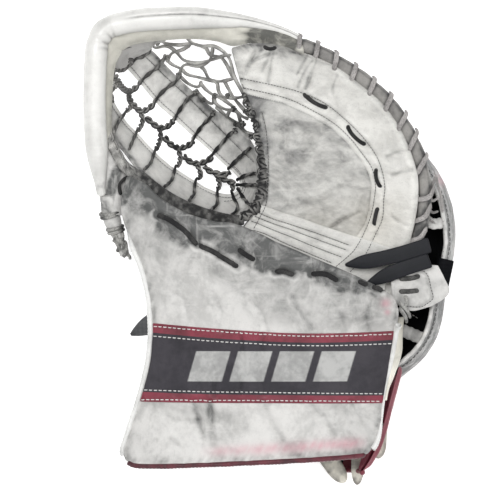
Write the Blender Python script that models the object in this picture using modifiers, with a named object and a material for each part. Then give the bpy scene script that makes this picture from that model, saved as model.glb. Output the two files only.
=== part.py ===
"""Goalie catch glove, lying on its back with the pocket open upwards.

Frame: X across the glove towards the little finger, Y from the cuff to the top of the pocket,
Z up out of the pocket. The origin is the centre of the bounding box, on the surface it lies on.
Working units are millimetres, turned into metres where vertices are made.

Three groups move: the hand side (palm, finger backs, backhand pad), the trap (rim, T leather, nets)
and the thumb side (thumb and cuff panel, wrist wrap). All fold about one line, the break.
"""

import math

import bmesh
import bpy
from mathutils import Vector

MM = 0.001

# Driving dimensions
LEATHER = 2.6            # leather panels with their backing
GAP = 0.4                # clearance between pieces that lie on each other
CUFF_BOARD = 6.0         # stiff foam and plastic board in the cuff
CUFF_LINER = 7.0         # soft lining under the board
CUFF_CREST = 92.0        # height of the cuff's face at its lower end
THUMB_RISE = 26.0        # how much higher the thumb's edge stands
CUFF_SIDE_DROP = 18.0    # how far the panel rounds off towards its sides
PALM_FOAM = 9.0
POCKET_DEPTH = 86.3
PERIMETER_RADIUS = 6.3
LACE_RADIUS = 1.3
WRAP_THICKNESS = 6.5
FINGER_RADIUS = 9.3
STRAP_WIDTH = 13.0
STRAP_THICKNESS = 1.8
BREAK_START = Vector((-136, 182, 55))

# Rows of the thumb and cuff panel where the sewn stripes start and end, from bottom to top
STRIPE_ROWS = (0.20, 0.228, 0.47, 0.50)

COLOURS = {
    "white_leather": ((0.80, 0.79, 0.77), 0.55),
    "worn_leather": ((0.52, 0.52, 0.50), 0.65),
    "cream_leather": ((0.66, 0.63, 0.54), 0.6),
    "burgundy_leather": ((0.27, 0.05, 0.08), 0.5),
    "black_leather": ((0.055, 0.055, 0.062), 0.5),
    "dark_lace": ((0.04, 0.04, 0.042), 0.8),
    "grey_lace": ((0.42, 0.40, 0.39), 0.8),
    "black_webbing": ((0.03, 0.03, 0.034), 0.75),
    "black_mesh": ((0.012, 0.012, 0.013), 0.9),
    "white_piping": ((0.82, 0.82, 0.80), 0.45),
    "grey_foam": ((0.30, 0.30, 0.31), 0.9),
    "liner_board": ((0.60, 0.60, 0.58), 0.5),
}


# ---------------------------------------------------------------- curves and maps

def blend(a, b, t):
    return a + (b - a) * t


def smooth(t):
    t = min(1.0, max(0.0, t))
    return t * t * (3 - 2 * t)


def curve_through(points, knots=None):
    """A smooth curve through the points, as a function of t from 0 to 1."""
    points = [Vector(p) for p in points]
    if knots is None:
        knots = [0.0]
        for a, b in zip(points, points[1:]):
            knots.append(knots[-1] + (b - a).length)
        knots = [k / knots[-1] for k in knots]
    last = len(points) - 1

    def slope(i):
        before, after = max(i - 1, 0), min(i + 1, last)
        return (points[after] - points[before]) / (knots[after] - knots[before])

    def at(t):
        i = max(j for j in range(last) if knots[j] <= max(t, 0.0) or j == 0)
        span = knots[i + 1] - knots[i]
        s = (t - knots[i]) / span
        return ((2 * s**3 - 3 * s**2 + 1) * points[i] + (s**3 - 2 * s**2 + s) * span * slope(i)
                + (3 * s**2 - 2 * s**3) * points[i + 1] + (s**3 - s**2) * span * slope(i + 1))

    return at


def knotted(*pairs):
    """A curve through points given with the t at which it passes each."""
    return curve_through([p for _, p in pairs], [t for t, _ in pairs])


def between(left, right, bottom, top):
    """A plan map (u, v) to (x, y) that fills four edge curves."""
    corners = [left(0), right(0), left(1), right(1)]

    def plan(u, v):
        sides = blend(left(v), right(v), u)
        ends = blend(bottom(u), top(u), v)
        flat = blend(blend(corners[0], corners[1], u), blend(corners[2], corners[3], u), v)
        return sides + ends - flat

    return plan


def beside(curve, distance, step=0.004):
    """The plan curve moved sideways, to its left for a positive distance."""
    def at(t):
        ahead = curve(min(1.0, t + step)) - curve(max(0.0, t - step))
        side = Vector((-ahead.y, ahead.x)).normalized()
        return curve(t) + side * distance

    return at


# Thumb and cuff panel, its edges in plan
cuff_left = knotted(
    (0, (-124, -184)), (0.04, (-126, -176)), (0.10, (-121, -160)), (0.20, (-112.5, -134)),
    (0.34, (-104, -102)), (0.47, (-101, -75)), (0.5, (-101, -67)), (0.6, (-103, -43)),
    (0.7, (-109, -18)), (0.8, (-119, 7)), (0.9, (-127, 34)), (1, (-122, 60)))
cuff_right = knotted(
    (0, (89, -178)), (0.04, (93, -172)), (0.10, (96, -158)), (0.20, (98, -134)),
    (0.34, (102, -106)), (0.47, (106, -80)), (0.5, (107, -72)), (0.6, (108, -67)),
    (0.75, (109, -61)), (1, (109, -54)))
cuff_bottom = curve_through(
    [(-124, -184), (-117, -187), (-103, -187.5), (-60, -186), (26, -182), (78, -180), (89, -178)])
cuff_top_edge = curve_through(
    [(-122, 60), (-108, 53), (-95, 41), (-73, 28), (-47, 18), (-26, 15), (-7, 10.5), (17, 2),
     (52, -13), (79, -28), (100, -42), (109, -54)])
cuff_plan = between(cuff_left, cuff_right, cuff_bottom, cuff_top_edge)


def cuff_face(u, v):
    """Height of the thumb and cuff panel's outer face."""
    return CUFF_CREST + THUMB_RISE * smooth(v) - CUFF_SIDE_DROP * abs(2 * u - 1) ** 3


# Palm, its edges in plan
palm_left = curve_through(
    [(-15.5, 26), (-7, 40), (-3.5, 58), (-4, 75), (-9, 96), (-15.5, 116), (-22, 135),
     (-27.5, 154), (-32, 171)])
palm_right = curve_through(
    [(111, -50), (115, -13), (118.5, 6), (122.5, 23), (124, 41), (121.5, 59), (115.5, 77.5),
     (106, 95), (96, 110.5), (82, 124), (66.5, 137), (54, 148.5), (38, 157), (22, 164.5)])
palm_bottom = curve_through([(-15.5, 26), (15, -12), (50, -28), (85, -42), (111, -50)])
palm_top_edge = curve_through([(-32, 171), (-15, 173), (6, 171), (22, 164.5)])
palm_plan = between(palm_left, palm_right, palm_bottom, palm_top_edge)


def palm_face(u, v):
    """Height of the palm's catching face, a shallow dish that rises to the perimeter."""
    pocket_side = 70 + 18 * smooth(v)
    perimeter_side = 68 + 30 * smooth(v / 0.45)
    dish = 16 * math.sin(math.pi * u) * math.sin(math.pi * v) ** 0.7 if 0 < v < 1 else 0.0
    return blend(pocket_side, perimeter_side, u) - dish


# Pocket: u runs from the rim's corner to the bottom of the pocket, v from the thumb to the palm
pocket_thumb_edge = knotted(
    (0, (-130, 170)), (0.06, (-136, 158)), (0.12, (-137, 130)), (0.2, (-137, 98)),
    (0.26, (-133, 85)), (0.35, (-119, 71)), (0.45, (-106, 61)), (0.58, (-89, 46)),
    (0.7, (-70, 34)), (0.82, (-49, 25)), (0.9, (-36, 22.5)), (1, (-23, 23)))
pocket_palm_edge = knotted(
    (0, (-130, 170)), (0.06, (-118, 176)), (0.2, (-90, 180)), (0.28, (-66, 179)),
    (0.35, (-46, 174)), (0.4, (-36, 162)), (0.45, (-30, 145)), (0.58, (-20, 115)),
    (0.7, (-13, 94)), (0.82, (-8, 73)), (0.9, (-8.5, 54)), (1, (-18, 31)))


def pocket_point(u, v):
    """A point of the pocket's surface: a deep basket hung between the rim, the thumb and the palm."""
    plan = blend(pocket_thumb_edge(u), pocket_palm_edge(u), v)
    thumb_height = 88 + 5 * smooth(u / 0.4) - 20 * smooth((u - 0.7) / 0.3)
    palm_height = 88 - 22 * smooth((u - 0.3) / 0.7)
    rim_height = blend(thumb_height, palm_height, v)
    along = math.sin(math.pi * min(1.0, max(0.0, u))) ** 0.55
    across = math.sin(math.pi * min(1.0, max(0.0, v))) ** 0.6
    return Vector((plan.x, plan.y, rim_height - POCKET_DEPTH * along * across))


def pocket_inward(u, v):
    """Which way the pocket's surface faces, into the pocket."""
    step = 0.01
    along = pocket_point(u + step, v) - pocket_point(u - step, v)
    across = pocket_point(u, v + step) - pocket_point(u, v - step)
    facing = along.cross(across).normalized()
    return facing if facing.z > 0 else -facing


# ---------------------------------------------------------------- building blocks

def material(slot):
    found = bpy.data.materials.get(slot)
    if found:
        return found
    colour, roughness = COLOURS[slot]
    made = bpy.data.materials.new(slot)
    made.use_nodes = True
    shader = made.node_tree.nodes["Principled BSDF"]
    shader.inputs["Base Color"].default_value = (*colour, 1)
    shader.inputs["Roughness"].default_value = roughness
    shader.inputs["Metallic"].default_value = 0.0
    return made


def finish_object(obj, slot, group):
    obj.data.materials.append(material(slot))
    for other in list(obj.users_collection):
        other.objects.unlink(obj)
    collection.objects.link(obj)
    obj.parent = groups[group]
    obj.matrix_parent_inverse = groups[group].matrix_world.inverted()
    return obj


def object_from(name, bm, slot, group):
    """A mesh object whose origin is the middle of its shape."""
    centre = sum((v.co for v in bm.verts), Vector()) / len(bm.verts)
    bmesh.ops.translate(bm, verts=bm.verts, vec=-centre)
    mesh = bpy.data.meshes.new(name)
    bm.to_mesh(mesh)
    bm.free()
    mesh.shade_smooth()
    mesh.set_sharp_from_angle(angle=math.radians(40))
    obj = bpy.data.objects.new(name, mesh)
    obj.location = centre
    bpy.context.scene.collection.objects.link(obj)
    return finish_object(obj, slot, group)


def patch(point, cells, u_range=(0, 1), v_range=(0, 1), window=None):
    """An open grid whose corners lie at point(u, v). A window (u0, u1, v0, v1) is left open."""
    bm = bmesh.new()
    bmesh.ops.create_grid(bm, x_segments=cells[0], y_segments=cells[1], size=0.5)
    place = {}
    for vert in bm.verts:
        place[vert] = (blend(*u_range, vert.co.x + 0.5), blend(*v_range, vert.co.y + 0.5))
    if window:
        u0, u1, v0, v1 = window
        inside = []
        for face in bm.faces:
            u = sum(place[v][0] for v in face.verts) / 4
            v = sum(place[v][1] for v in face.verts) / 4
            if u0 < u < u1 and v0 < v < v1:
                inside.append(face)
        bmesh.ops.delete(bm, geom=inside, context="FACES")
    for vert in bm.verts:
        vert.co = point(*place[vert]) * MM
    return bm


def slab(name, plan, face, thickness, slot, group, cells=(8, 8), u_range=(0, 1), v_range=(0, 1)):
    """A panel between the height face(u, v) and the same height less its thickness."""
    bm = patch(lambda u, v: Vector((*plan(u, v).xy, face(u, v))), cells, u_range, v_range)
    lower = bmesh.ops.extrude_face_region(bm, geom=bm.faces[:], use_keep_orig=True)["geom"]
    moved = [g for g in lower if isinstance(g, bmesh.types.BMVert)]
    bmesh.ops.translate(bm, verts=moved, vec=(0, 0, -thickness * MM))
    bmesh.ops.recalc_face_normals(bm, faces=bm.faces[:])
    return object_from(name, bm, slot, group)


def shell(name, point, thickness, slot, group, cells=(8, 8), u_range=(0, 1), v_range=(0, 1),
          window=None, offset=0.0):
    """A curved sheet of even thickness, with Solidify."""
    bm = patch(point, cells, u_range, v_range, window)
    obj = object_from(name, bm, slot, group)
    solid = obj.modifiers.new("Thickness", "SOLIDIFY")
    solid.thickness = thickness * MM
    solid.offset = offset
    solid.use_even_offset = True
    return obj


def net(name, point, cord, slot, group, cells, u_range, v_range):
    """A lace net: every edge of the grid becomes a cord."""
    bm = patch(point, cells, u_range, v_range)
    obj = object_from(name, bm, slot, group)
    wires = obj.modifiers.new("Cords", "WIREFRAME")
    wires.thickness = cord * MM
    wires.use_boundary = True
    wires.use_even_offset = False
    wires.offset = 0.0
    return obj


def tube(name, points, radius, slot, group, radii=None, sides=8):
    """A tube along the points. radii scale the radius at each point."""
    data = bpy.data.curves.new(name, "CURVE")
    data.dimensions = "3D"
    data.bevel_depth = radius * MM
    data.bevel_resolution = (sides - 4) // 2
    data.use_fill_caps = True
    spline = data.splines.new("POLY")
    spline.points.add(len(points) - 1)
    centre = sum((Vector(p) for p in points), Vector()) / len(points)
    for i, point in enumerate(points):
        spline.points[i].co = (*((Vector(point) - centre) * MM), 1)
        spline.points[i].radius = radii[i] if radii else 1.0
    obj = bpy.data.objects.new(name, data)
    obj.location = centre * MM
    bpy.context.scene.collection.objects.link(obj)
    return finish_object(obj, slot, group)


def rounded_box(name, low, high, radius, slot, group, segments=2):
    """A padded block with rounded edges."""
    low, high = Vector(low) * MM, Vector(high) * MM
    bm = bmesh.new()
    bmesh.ops.create_cube(bm, size=1.0)
    size = high - low
    bmesh.ops.scale(bm, vec=size, verts=bm.verts)
    bmesh.ops.translate(bm, vec=(low + high) / 2, verts=bm.verts)
    obj = object_from(name, bm, slot, group)
    bevel = obj.modifiers.new("Edges", "BEVEL")
    bevel.width = radius * MM
    bevel.segments = segments
    return obj


def sleeve(name, mouth, tip, radius, wall, slot, group, steps=10):
    """A finger stall: a turned sleeve, open at its mouth and round at its tip."""
    mouth, tip = Vector(mouth), Vector(tip)
    length = (tip - mouth).length
    profile = []
    for angle in (90, 60, 30, 0):
        a = math.radians(angle)
        profile.append((radius * math.cos(a), length - radius + radius * math.sin(a)))
    profile.append((radius, 0))
    inner = radius - wall
    profile.append((inner, 0))
    for angle in (0, 30, 60, 90):
        a = math.radians(angle)
        profile.append((inner * math.cos(a), length - radius + inner * math.sin(a)))
    bm = bmesh.new()
    verts = [bm.verts.new((r * MM, 0, z * MM)) for r, z in profile]
    for a, b in zip(verts, verts[1:]):
        bm.edges.new((a, b))
    mesh = bpy.data.meshes.new(name)
    bm.to_mesh(mesh)
    bm.free()
    obj = bpy.data.objects.new(name, mesh)
    obj.location = mouth * MM
    obj.rotation_mode = "QUATERNION"
    obj.rotation_quaternion = (tip - mouth).to_track_quat("Z", "Y")
    bpy.context.scene.collection.objects.link(obj)
    turn = obj.modifiers.new("Turn", "SCREW")
    turn.steps = steps
    turn.render_steps = steps
    turn.use_merge_vertices = True
    turn.merge_threshold = 0.00001
    turn.use_smooth_shade = True
    return finish_object(obj, slot, group)


def strap(name, root, tip, width, thickness, slot, group, point_share=0.28, cells=(8, 2)):
    """A flat strap from its root to a pointed tip, lying face up."""
    root, tip = Vector(root), Vector(tip)
    side = (tip - root).cross(Vector((0, 0, 1))).normalized()

    def at(u, v):
        left = (1 - u) / point_share
        half = width / 2 * (1.0 if left >= 1 else 0.06 + 0.94 * math.sin(left * math.pi / 2))
        return blend(root, tip, u) + side * half * (2 * v - 1)

    return shell(name, at, thickness, slot, group, cells)


# ---------------------------------------------------------------- the hand side

def make_palm():
    slab("palm_panel", palm_plan, palm_face, LEATHER, "white_leather", "hand", (10, 12))
    under = LEATHER + GAP
    slab("palm_foam", palm_plan, lambda u, v: palm_face(u, v) - under, PALM_FOAM, "grey_foam",
         "hand", (10, 12))


def make_perimeter():
    """The bound edge round the fingers and the lace that whips it to the palm."""
    count = 22
    tube("perimeter_roll", [perimeter_line(i / count) for i in range(count + 1)],
         PERIMETER_RADIUS, "worn_leather", "hand")
    turns, per_turn = 13, 7
    reach = PERIMETER_RADIUS + LACE_RADIUS + 1.8 * GAP
    points = []
    for i in range(turns * per_turn + 1):
        t = 0.02 + 0.90 * i / (turns * per_turn)
        ahead = (perimeter_line(t + 0.01) - perimeter_line(t - 0.01)).normalized()
        side = ahead.cross(Vector((0, 0, 1))).normalized()
        up = side.cross(ahead)
        a = 2 * math.pi * i / per_turn
        points.append(perimeter_line(t) + (side * math.cos(a) + up * math.sin(a)) * reach)
    tube("perimeter_lace", points, LACE_RADIUS, "grey_lace", "hand", sides=6)


def finger_shell_face(u, v):
    rise = 29 + 49 * abs(2 * u - 1) ** 8 + 40 * max(0.0, (v - 0.85) / 0.15) ** 2
    return min(rise, palm_face(u, v) - LEATHER - PALM_FOAM - 4 * GAP)


def make_finger_backs():
    slab("finger_back_shell", palm_plan, finger_shell_face, 5.0, "white_leather", "hand",
         (10, 8), (0.02, 0.985), (0.42, 0.985))
    stalls = {
        "index_stall": ((37, 24, 39), (28, 114, 39)),
        "middle_stall": ((57.5, 26, 39), (52, 120, 39)),
        "ring_stall": ((78, 26, 40), (74, 104, 40)),
        "little_stall": ((98, 26, 42), (93, 78, 44)),
    }
    for name, (mouth, tip) in stalls.items():
        sleeve(name, mouth, tip, FINGER_RADIUS, 1.6, "black_mesh", "hand")


# The outer wall of the hand opening, from the perimeter down to the wrist
wall_foot = curve_through(
    [(138, 78), (147, 64), (154, 48), (158, 32), (159, 14), (157, -7), (151, -40), (146.5, -62),
     (139, -79), (127, -94), (116, -104)])


def side_wall_point(u, v):
    foot, top = wall_foot(u), beside(wall_foot, -11)(u)
    plan = blend(foot, top, v)
    return Vector((plan.x, plan.y, blend(9, blend(70, 52, u), v)))


def make_backhand():
    shell("side_wall", side_wall_point, 4.0, "white_leather", "hand", (14, 3))
    shell("side_wall_keeper", lambda u, v: side_wall_point(u, v) + Vector((3.4, -1.2, 1.4)), 1.6,
          "black_webbing", "hand", (3, 3), (0.43, 0.6), (0.1, 0.95))
    liner_right = curve_through([(122, -50), (135, -40), (146, -10), (148, 14), (143, 40)])
    liner_left = curve_through([(18, -50), (18, -5), (18, 40)])
    liner_foot = curve_through([(18, -50), (122, -50)])
    liner_head = curve_through([(18, 40), (143, 40)])
    liner_plan = between(liner_left, liner_right, liner_foot, liner_head)
    slab("hand_liner", liner_plan, lambda u, v: 25.5, 3.0, "black_mesh", "hand", (4, 6))
    rounded_box("backhand_pad", (20, -42, 0), (122, 36, 15), 5.5, "white_leather", "hand", 3)
    rounded_box("backhand_plate", (30, -34, 15.4), (112, 28, 18.4), 1.0, "liner_board", "hand", 1)
    rounded_box("backhand_strap", (30, -16, 18.8), (131, 12, 21.2), 0.8, "black_webbing", "hand", 1)
    # Two short bands that cross the hand opening
    tube("opening_band_upper", [(126, 27, 58), (133, 23, 57), (141, 20, 56)], 3.2,
         "white_leather", "hand")
    tube("opening_band_lower", [(109, -62, 41), (119, -67, 42), (129, -72, 43)], 3.2,
         "white_leather", "hand")


def make_heel():
    """The stitched break binding at the palm's heel, and the laced tab beside it."""
    slab("break_binding", palm_plan, lambda u, v: palm_face(u, v) + LEATHER + 1.6, LEATHER,
         "white_leather", "hand", (8, 2), (0.03, 0.9), (0.06, 0.19))
    tab_left = curve_through([(115, -44), (115, -30), (116, -14)])
    tab_right = curve_through([(143, -50), (152, -42), (155, -34), (150, -24), (144, -13)])
    tab_foot = curve_through([(115, -44), (130, -51), (143, -50)])
    tab_head = curve_through([(116, -14), (144, -13)])
    tab_plan = between(tab_left, tab_right, tab_foot, tab_head)
    slab("heel_tab", tab_plan, lambda u, v: 79 - 5 * u**2, 2.4, "white_leather", "hand", (6, 5))


# ---------------------------------------------------------------- the trap

rim_line = curve_through(
    [(-145, 53, 94), (-148, 73, 97), (-150, 101, 99), (-151, 122, 100), (-151, 148, 101),
     (-147, 168, 102), (-141, 181, 102), (-131, 189, 102), (-115, 194, 101), (-95, 196.5, 100),
     (-69, 197.2, 99), (-43, 196, 98), (-19, 193, 96), (1, 187, 94), (16, 180, 93)])

perimeter_line = curve_through(
    [(23, 176, 92), (41, 169, 92), (58.5, 159, 92), (74, 149, 92), (90, 136, 92), (105, 121, 92),
     (115, 106, 92), (125, 87, 91), (131, 68, 89), (134, 49, 86), (133, 32, 82), (130, 15, 76),
     (125, 2, 71)])


def make_trap():
    count = 26
    radii = [blend(1.0, 0.62, smooth((i / count - 0.35) / 0.3)) for i in range(count + 1)]
    tube("rim_roll", [rim_line(i / count) for i in range(count + 1)], 9.5, "white_leather",
         "trap", radii)

    def gusset(start, end, edge):
        """The rim's inner wall, from the roll down to the pocket's edge."""
        def at(u, v):
            roll = rim_line(blend(*start, u))
            low = pocket_point(blend(*end, u), edge)
            toward = (low - roll)
            upper = roll + toward.normalized() * 12.8
            return blend(upper, low + Vector((0, 0, 2.2)), v)
        return at

    shell("rim_gusset_thumb_side", gusset((0.12, 0.40), (0.26, 0.04), 0.0), 2.2, "worn_leather",
          "trap", (6, 2))
    shell("rim_gusset_finger_side", gusset((0.44, 0.86), (0.04, 0.32), 1.0), 2.2, "worn_leather",
          "trap", (8, 2))
    shell("t_leather", pocket_point, 2.4, "worn_leather", "trap", (16, 9), (0.05, 0.97),
          (0.06, 0.70), window=(0.13, 0.88, 0.22, 0.49))
    net("finger_side_net", pocket_point, 2.6, "dark_lace", "trap", (9, 3), (0.07, 0.96),
        (0.74, 0.985))
    net("window_net", lambda u, v: pocket_point(u, v) + pocket_inward(u, v) * 4.6, 2.6, "dark_lace",
        "trap", (8, 2), (0.10, 0.90), (0.16, 0.54))
    net("thumb_side_lacing", pocket_point, 2.4, "dark_lace", "trap", (14, 1), (0.28, 0.96),
        (0.0, 0.042))


# ---------------------------------------------------------------- the thumb side

def make_cuff():
    slab("cuff_leather", cuff_plan, cuff_face, LEATHER, "white_leather", "thumb", (10, 14))
    board = LEATHER + GAP
    slab("cuff_board", cuff_plan, lambda u, v: cuff_face(u, v) - board, CUFF_BOARD,
         "liner_board", "thumb", (10, 14))
    liner = board + CUFF_BOARD + GAP
    slab("cuff_liner", cuff_plan, lambda u, v: cuff_face(u, v) - liner, CUFF_LINER,
         "black_mesh", "thumb", (10, 14))
    stripes = {"stripe_lower": (0, 1, "burgundy_leather"), "stripe_middle": (1, 2, "black_leather"),
               "stripe_upper": (2, 3, "burgundy_leather")}
    seam = 0.002
    for name, (low, high, slot) in stripes.items():
        rows = (STRIPE_ROWS[low] + seam, STRIPE_ROWS[high] - seam)
        slab(name, cuff_plan, lambda u, v: cuff_face(u, v) + 1.2 + GAP, 1.2, slot, "thumb",
             (10, 3), (0.004, 0.996), rows)


def piping(name, edge, u_or_v, start, end, side, slot):
    """A round piping just outside one edge of the cuff panel."""
    radius = 2.2
    count = 14
    moved = beside(edge, side * (radius + 0.7))
    points = []
    for i in range(count + 1):
        t = blend(start, end, i / count)
        plan = moved(t)
        height = cuff_face(u_or_v, t) if u_or_v is not None else cuff_face(t, 0)
        points.append((plan.x, plan.y, height - 1.0))
    tube(name, points, radius, slot, "thumb", sides=6)


def make_cuff_trim():
    piping("piping_left", cuff_left, 0, 0.03, 0.93, 1, "white_piping")
    piping("piping_right", cuff_right, 1, 0.03, 0.97, -1, "white_piping")
    piping("piping_bottom", cuff_bottom, None, 0.02, 0.98, -1, "burgundy_leather")
    tube("thumb_tip_lacing", [(-129, 52, 84), (-133, 43, 82), (-135, 33, 80), (-132, 21, 78),
                              (-128, 10, 77), (-122, -2, 76)], 3.4, "grey_lace", "trap")


def make_thumb():
    sleeve("thumb_stall", (18, -38, 84.5), (-74, 2, 87.5), 10.5, 1.6, "black_mesh", "thumb")
    slab("thumb_back_shell", cuff_plan, lambda u, v: 67 + 14 * abs(2.6 * (u - 0.35)) ** 2.0, 4.0,
         "white_leather", "thumb", (7, 5), (0.10, 0.56), (0.60, 0.88))


def wrap_point(u, v):
    """The padded wrap round the back of the forearm: u down one side and across, v along Y."""
    section = wrap_section(u)
    y = blend(-112, -196, v)
    pull = 0.25 * (y + 106) * max(0.0, section.x / 107)
    return Vector((section.x + pull, y, max(section.y, WRAP_THICKNESS)))


wrap_section = curve_through(
    [(112, 51), (113, 38), (109, 24), (99, 12), (82, WRAP_THICKNESS), (50, WRAP_THICKNESS),
     (0, WRAP_THICKNESS), (-40, WRAP_THICKNESS), (-64, 9.5), (-80, 18), (-90, 32)])


def make_wrist():
    shell("wrist_wrap", wrap_point, WRAP_THICKNESS, "burgundy_leather", "thumb", (20, 5),
          offset=-1.0)
    shell("wrap_liner", wrap_point, 3.0, "black_mesh", "thumb", (20, 5), offset=1.3)
    strap("wrap_pull_tab_left", (52, -180, 13.5), (60, -203, 12.5), 26, 2.2, "cream_leather", "thumb",
          point_share=0.9, cells=(6, 4))
    strap("wrap_pull_tab_right", (72, -178, 20.5), (73.5, -202, 21.5), 9, 2.2, "cream_leather",
          "thumb", point_share=0.7, cells=(6, 2))
    around = curve_through([(-84, -66, 58), (-91, -66, 40), (-87, -66, 16), (-68, -66, 4),
                            (-20, -66, 2.2), (40, -66, 2.2), (86, -66, 4), (101, -66, 16),
                            (103, -66, 36), (98, -66, 58)])
    shell("wrist_strap", lambda u, v: around(u) + Vector((0, 24 * (v - 0.5), 0)), 2.0,
          "black_webbing", "thumb", (20, 1))


# ---------------------------------------------------------------- strap tails that peel

def make_strap_tails():
    strap("palm_strap_tail_upper", (137, 2, 84), (66, -15.5, 79), STRAP_WIDTH, STRAP_THICKNESS,
          "black_webbing", "upper_strap")
    strap("palm_strap_tail_lower", (138, -12.5, 83), (85, -30.5, 79), STRAP_WIDTH,
          STRAP_THICKNESS, "black_webbing", "lower_strap")
    strap("wrist_strap_tail", (-94, -62, 63), (-120.5, -76, 60), 15, STRAP_THICKNESS,
          "black_webbing", "wrist_tail", point_share=0.6)


# ---------------------------------------------------------------- assembly

for old in list(bpy.data.objects):
    bpy.data.objects.remove(old)

collection = bpy.data.collections.new("goalie_catch_glove")
bpy.context.scene.collection.children.link(collection)

groups = {}
for group_name, axis_point in {
    "hand": (0, 0, 0),
    "trap": BREAK_START,
    "thumb": BREAK_START,
    "upper_strap": (137, 2, 84),
    "lower_strap": (138, -12.5, 83),
    "wrist_tail": (-94, -62, 63),
}.items():
    empty = bpy.data.objects.new(group_name + "_group", None)
    empty.location = Vector(axis_point) * MM
    collection.objects.link(empty)
    groups[group_name] = empty
bpy.context.view_layer.update()

make_palm()
make_perimeter()
make_finger_backs()
make_backhand()
make_heel()
make_trap()
make_cuff()
make_cuff_trim()
make_thumb()
make_wrist()
make_strap_tails()
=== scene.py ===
"""Looks of the goalie catch glove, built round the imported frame.
Lengths are in millimetres until a mesh is made."""

import math

import bmesh
import bpy
import numpy as np
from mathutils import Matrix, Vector
from mathutils.bvhtree import BVHTree


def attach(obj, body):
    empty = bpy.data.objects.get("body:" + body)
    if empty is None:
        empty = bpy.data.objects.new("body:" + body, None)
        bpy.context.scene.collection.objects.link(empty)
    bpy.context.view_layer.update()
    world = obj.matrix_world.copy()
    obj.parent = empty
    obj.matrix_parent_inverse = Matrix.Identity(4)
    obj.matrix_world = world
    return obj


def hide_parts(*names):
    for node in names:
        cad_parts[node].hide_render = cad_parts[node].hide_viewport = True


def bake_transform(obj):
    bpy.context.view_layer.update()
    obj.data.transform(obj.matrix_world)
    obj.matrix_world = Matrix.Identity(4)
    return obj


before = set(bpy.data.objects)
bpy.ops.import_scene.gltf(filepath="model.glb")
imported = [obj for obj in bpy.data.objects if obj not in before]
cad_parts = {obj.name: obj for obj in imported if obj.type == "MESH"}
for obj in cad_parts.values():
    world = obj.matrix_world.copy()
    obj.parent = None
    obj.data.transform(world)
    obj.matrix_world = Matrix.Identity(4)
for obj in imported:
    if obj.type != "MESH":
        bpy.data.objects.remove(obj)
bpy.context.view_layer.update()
MM = 0.001

# ---------------------------------------------------------------- camera, light, floor

EYE = Vector((-17.2, -2.6, 3500.0))     # the eye, straight above the glove
FACE_PLANE = 100.0                      # height at which places "as seen from above" are given
FIELD = 430.0                           # width seen at that height

camera_data = bpy.data.cameras.new("camera")
camera_data.sensor_width = 36.0
camera_data.lens = 36.0 * (EYE.z - FACE_PLANE) / FIELD
camera_data.clip_end = 20.0
camera = bpy.data.objects.new("camera", camera_data)
camera.location = EYE * MM
bpy.context.scene.collection.objects.link(camera)
bpy.context.scene.camera = camera


def area_light(name, place, aim, size, power):
    data = bpy.data.lights.new(name, "AREA")
    data.shape = "DISK"
    data.size = size
    data.energy = power
    obj = bpy.data.objects.new(name, data)
    obj.location = place
    obj.rotation_euler = (Vector(aim) - Vector(place)).to_track_quat("-Z", "Y").to_euler()
    bpy.context.scene.collection.objects.link(obj)


area_light("key", (-0.40, 0.50, 2.1), (0, 0, 0.05), 0.9, 27.0)
area_light("fill", (0.9, -0.4, 1.9), (0, 0, 0.05), 1.4, 12.0)
area_light("low", (0.1, -1.5, 0.9), (0, 0, 0.05), 1.2, 2.5)

world = bpy.data.worlds.new("studio")
bpy.context.scene.world = world
world.use_nodes = True
world.node_tree.nodes["Background"].inputs["Color"].default_value = (1.0, 1.0, 1.0, 1)
world.node_tree.nodes["Background"].inputs["Strength"].default_value = 0.42
bpy.context.scene.view_settings.view_transform = "Standard"

# ---------------------------------------------------------------- numbers and curves


def smooth(t):
    t = np.clip(t, 0.0, 1.0)
    return t * t * (3 - 2 * t)


def lerp(a, b, t):
    return a + (b - a) * t


def travelled(points):
    """Distance along a polyline at each of its points."""
    return np.concatenate([[0], np.cumsum(np.linalg.norm(np.diff(points, axis=0), axis=1))])


def curve(points, knots=None, closed=False):
    """A smooth curve through the points, as a function of an array of t from 0 to 1."""
    p = np.asarray(points, float)
    if closed:
        p = np.vstack([p, p[:1]])
    if knots is None:
        knots = travelled(p)
        knots = knots / knots[-1]
    k = np.asarray(knots, float)
    last = len(p) - 1
    slope = np.empty_like(p)
    slope[1:-1] = (p[2:] - p[:-2]) / (k[2:] - k[:-2])[:, None]
    slope[0] = (p[1] - p[0]) / (k[1] - k[0])
    slope[-1] = (p[-1] - p[-2]) / (k[-1] - k[-2])
    if closed:
        slope[0] = slope[-1] = (p[1] - p[-2]) / (k[1] + 1 - k[-2])

    def at(t):
        t = np.atleast_1d(np.asarray(t, float))
        i = np.clip(np.searchsorted(k, t, side="right") - 1, 0, last - 1)
        span = (k[i + 1] - k[i])[..., None]
        s = ((t - k[i]) / span[..., 0])[..., None]
        return ((2 * s**3 - 3 * s**2 + 1) * p[i] + (s**3 - 2 * s**2 + s) * span * slope[i]
                + (3 * s**2 - 2 * s**3) * p[i + 1] + (s**3 - s**2) * span * slope[i + 1])

    return at


def knotted(*pairs):
    return curve([p for _, p in pairs], [t for t, _ in pairs])


def resample(points, step, closed=False):
    """Points along a smooth curve, about step apart."""
    p = np.asarray(points, float)
    at = curve(p, closed=closed)
    length = np.linalg.norm(np.diff(at(np.linspace(0, 1, 200)), axis=0), axis=1).sum()
    n = max(2, int(math.ceil(length / step)))
    dense = at(np.linspace(0, 1, n * 8 + 1))
    run = travelled(dense)
    want = np.linspace(0, run[-1], n + 1)
    return np.stack([np.interp(want, run, dense[:, c]) for c in range(p.shape[1])], axis=1)


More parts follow.
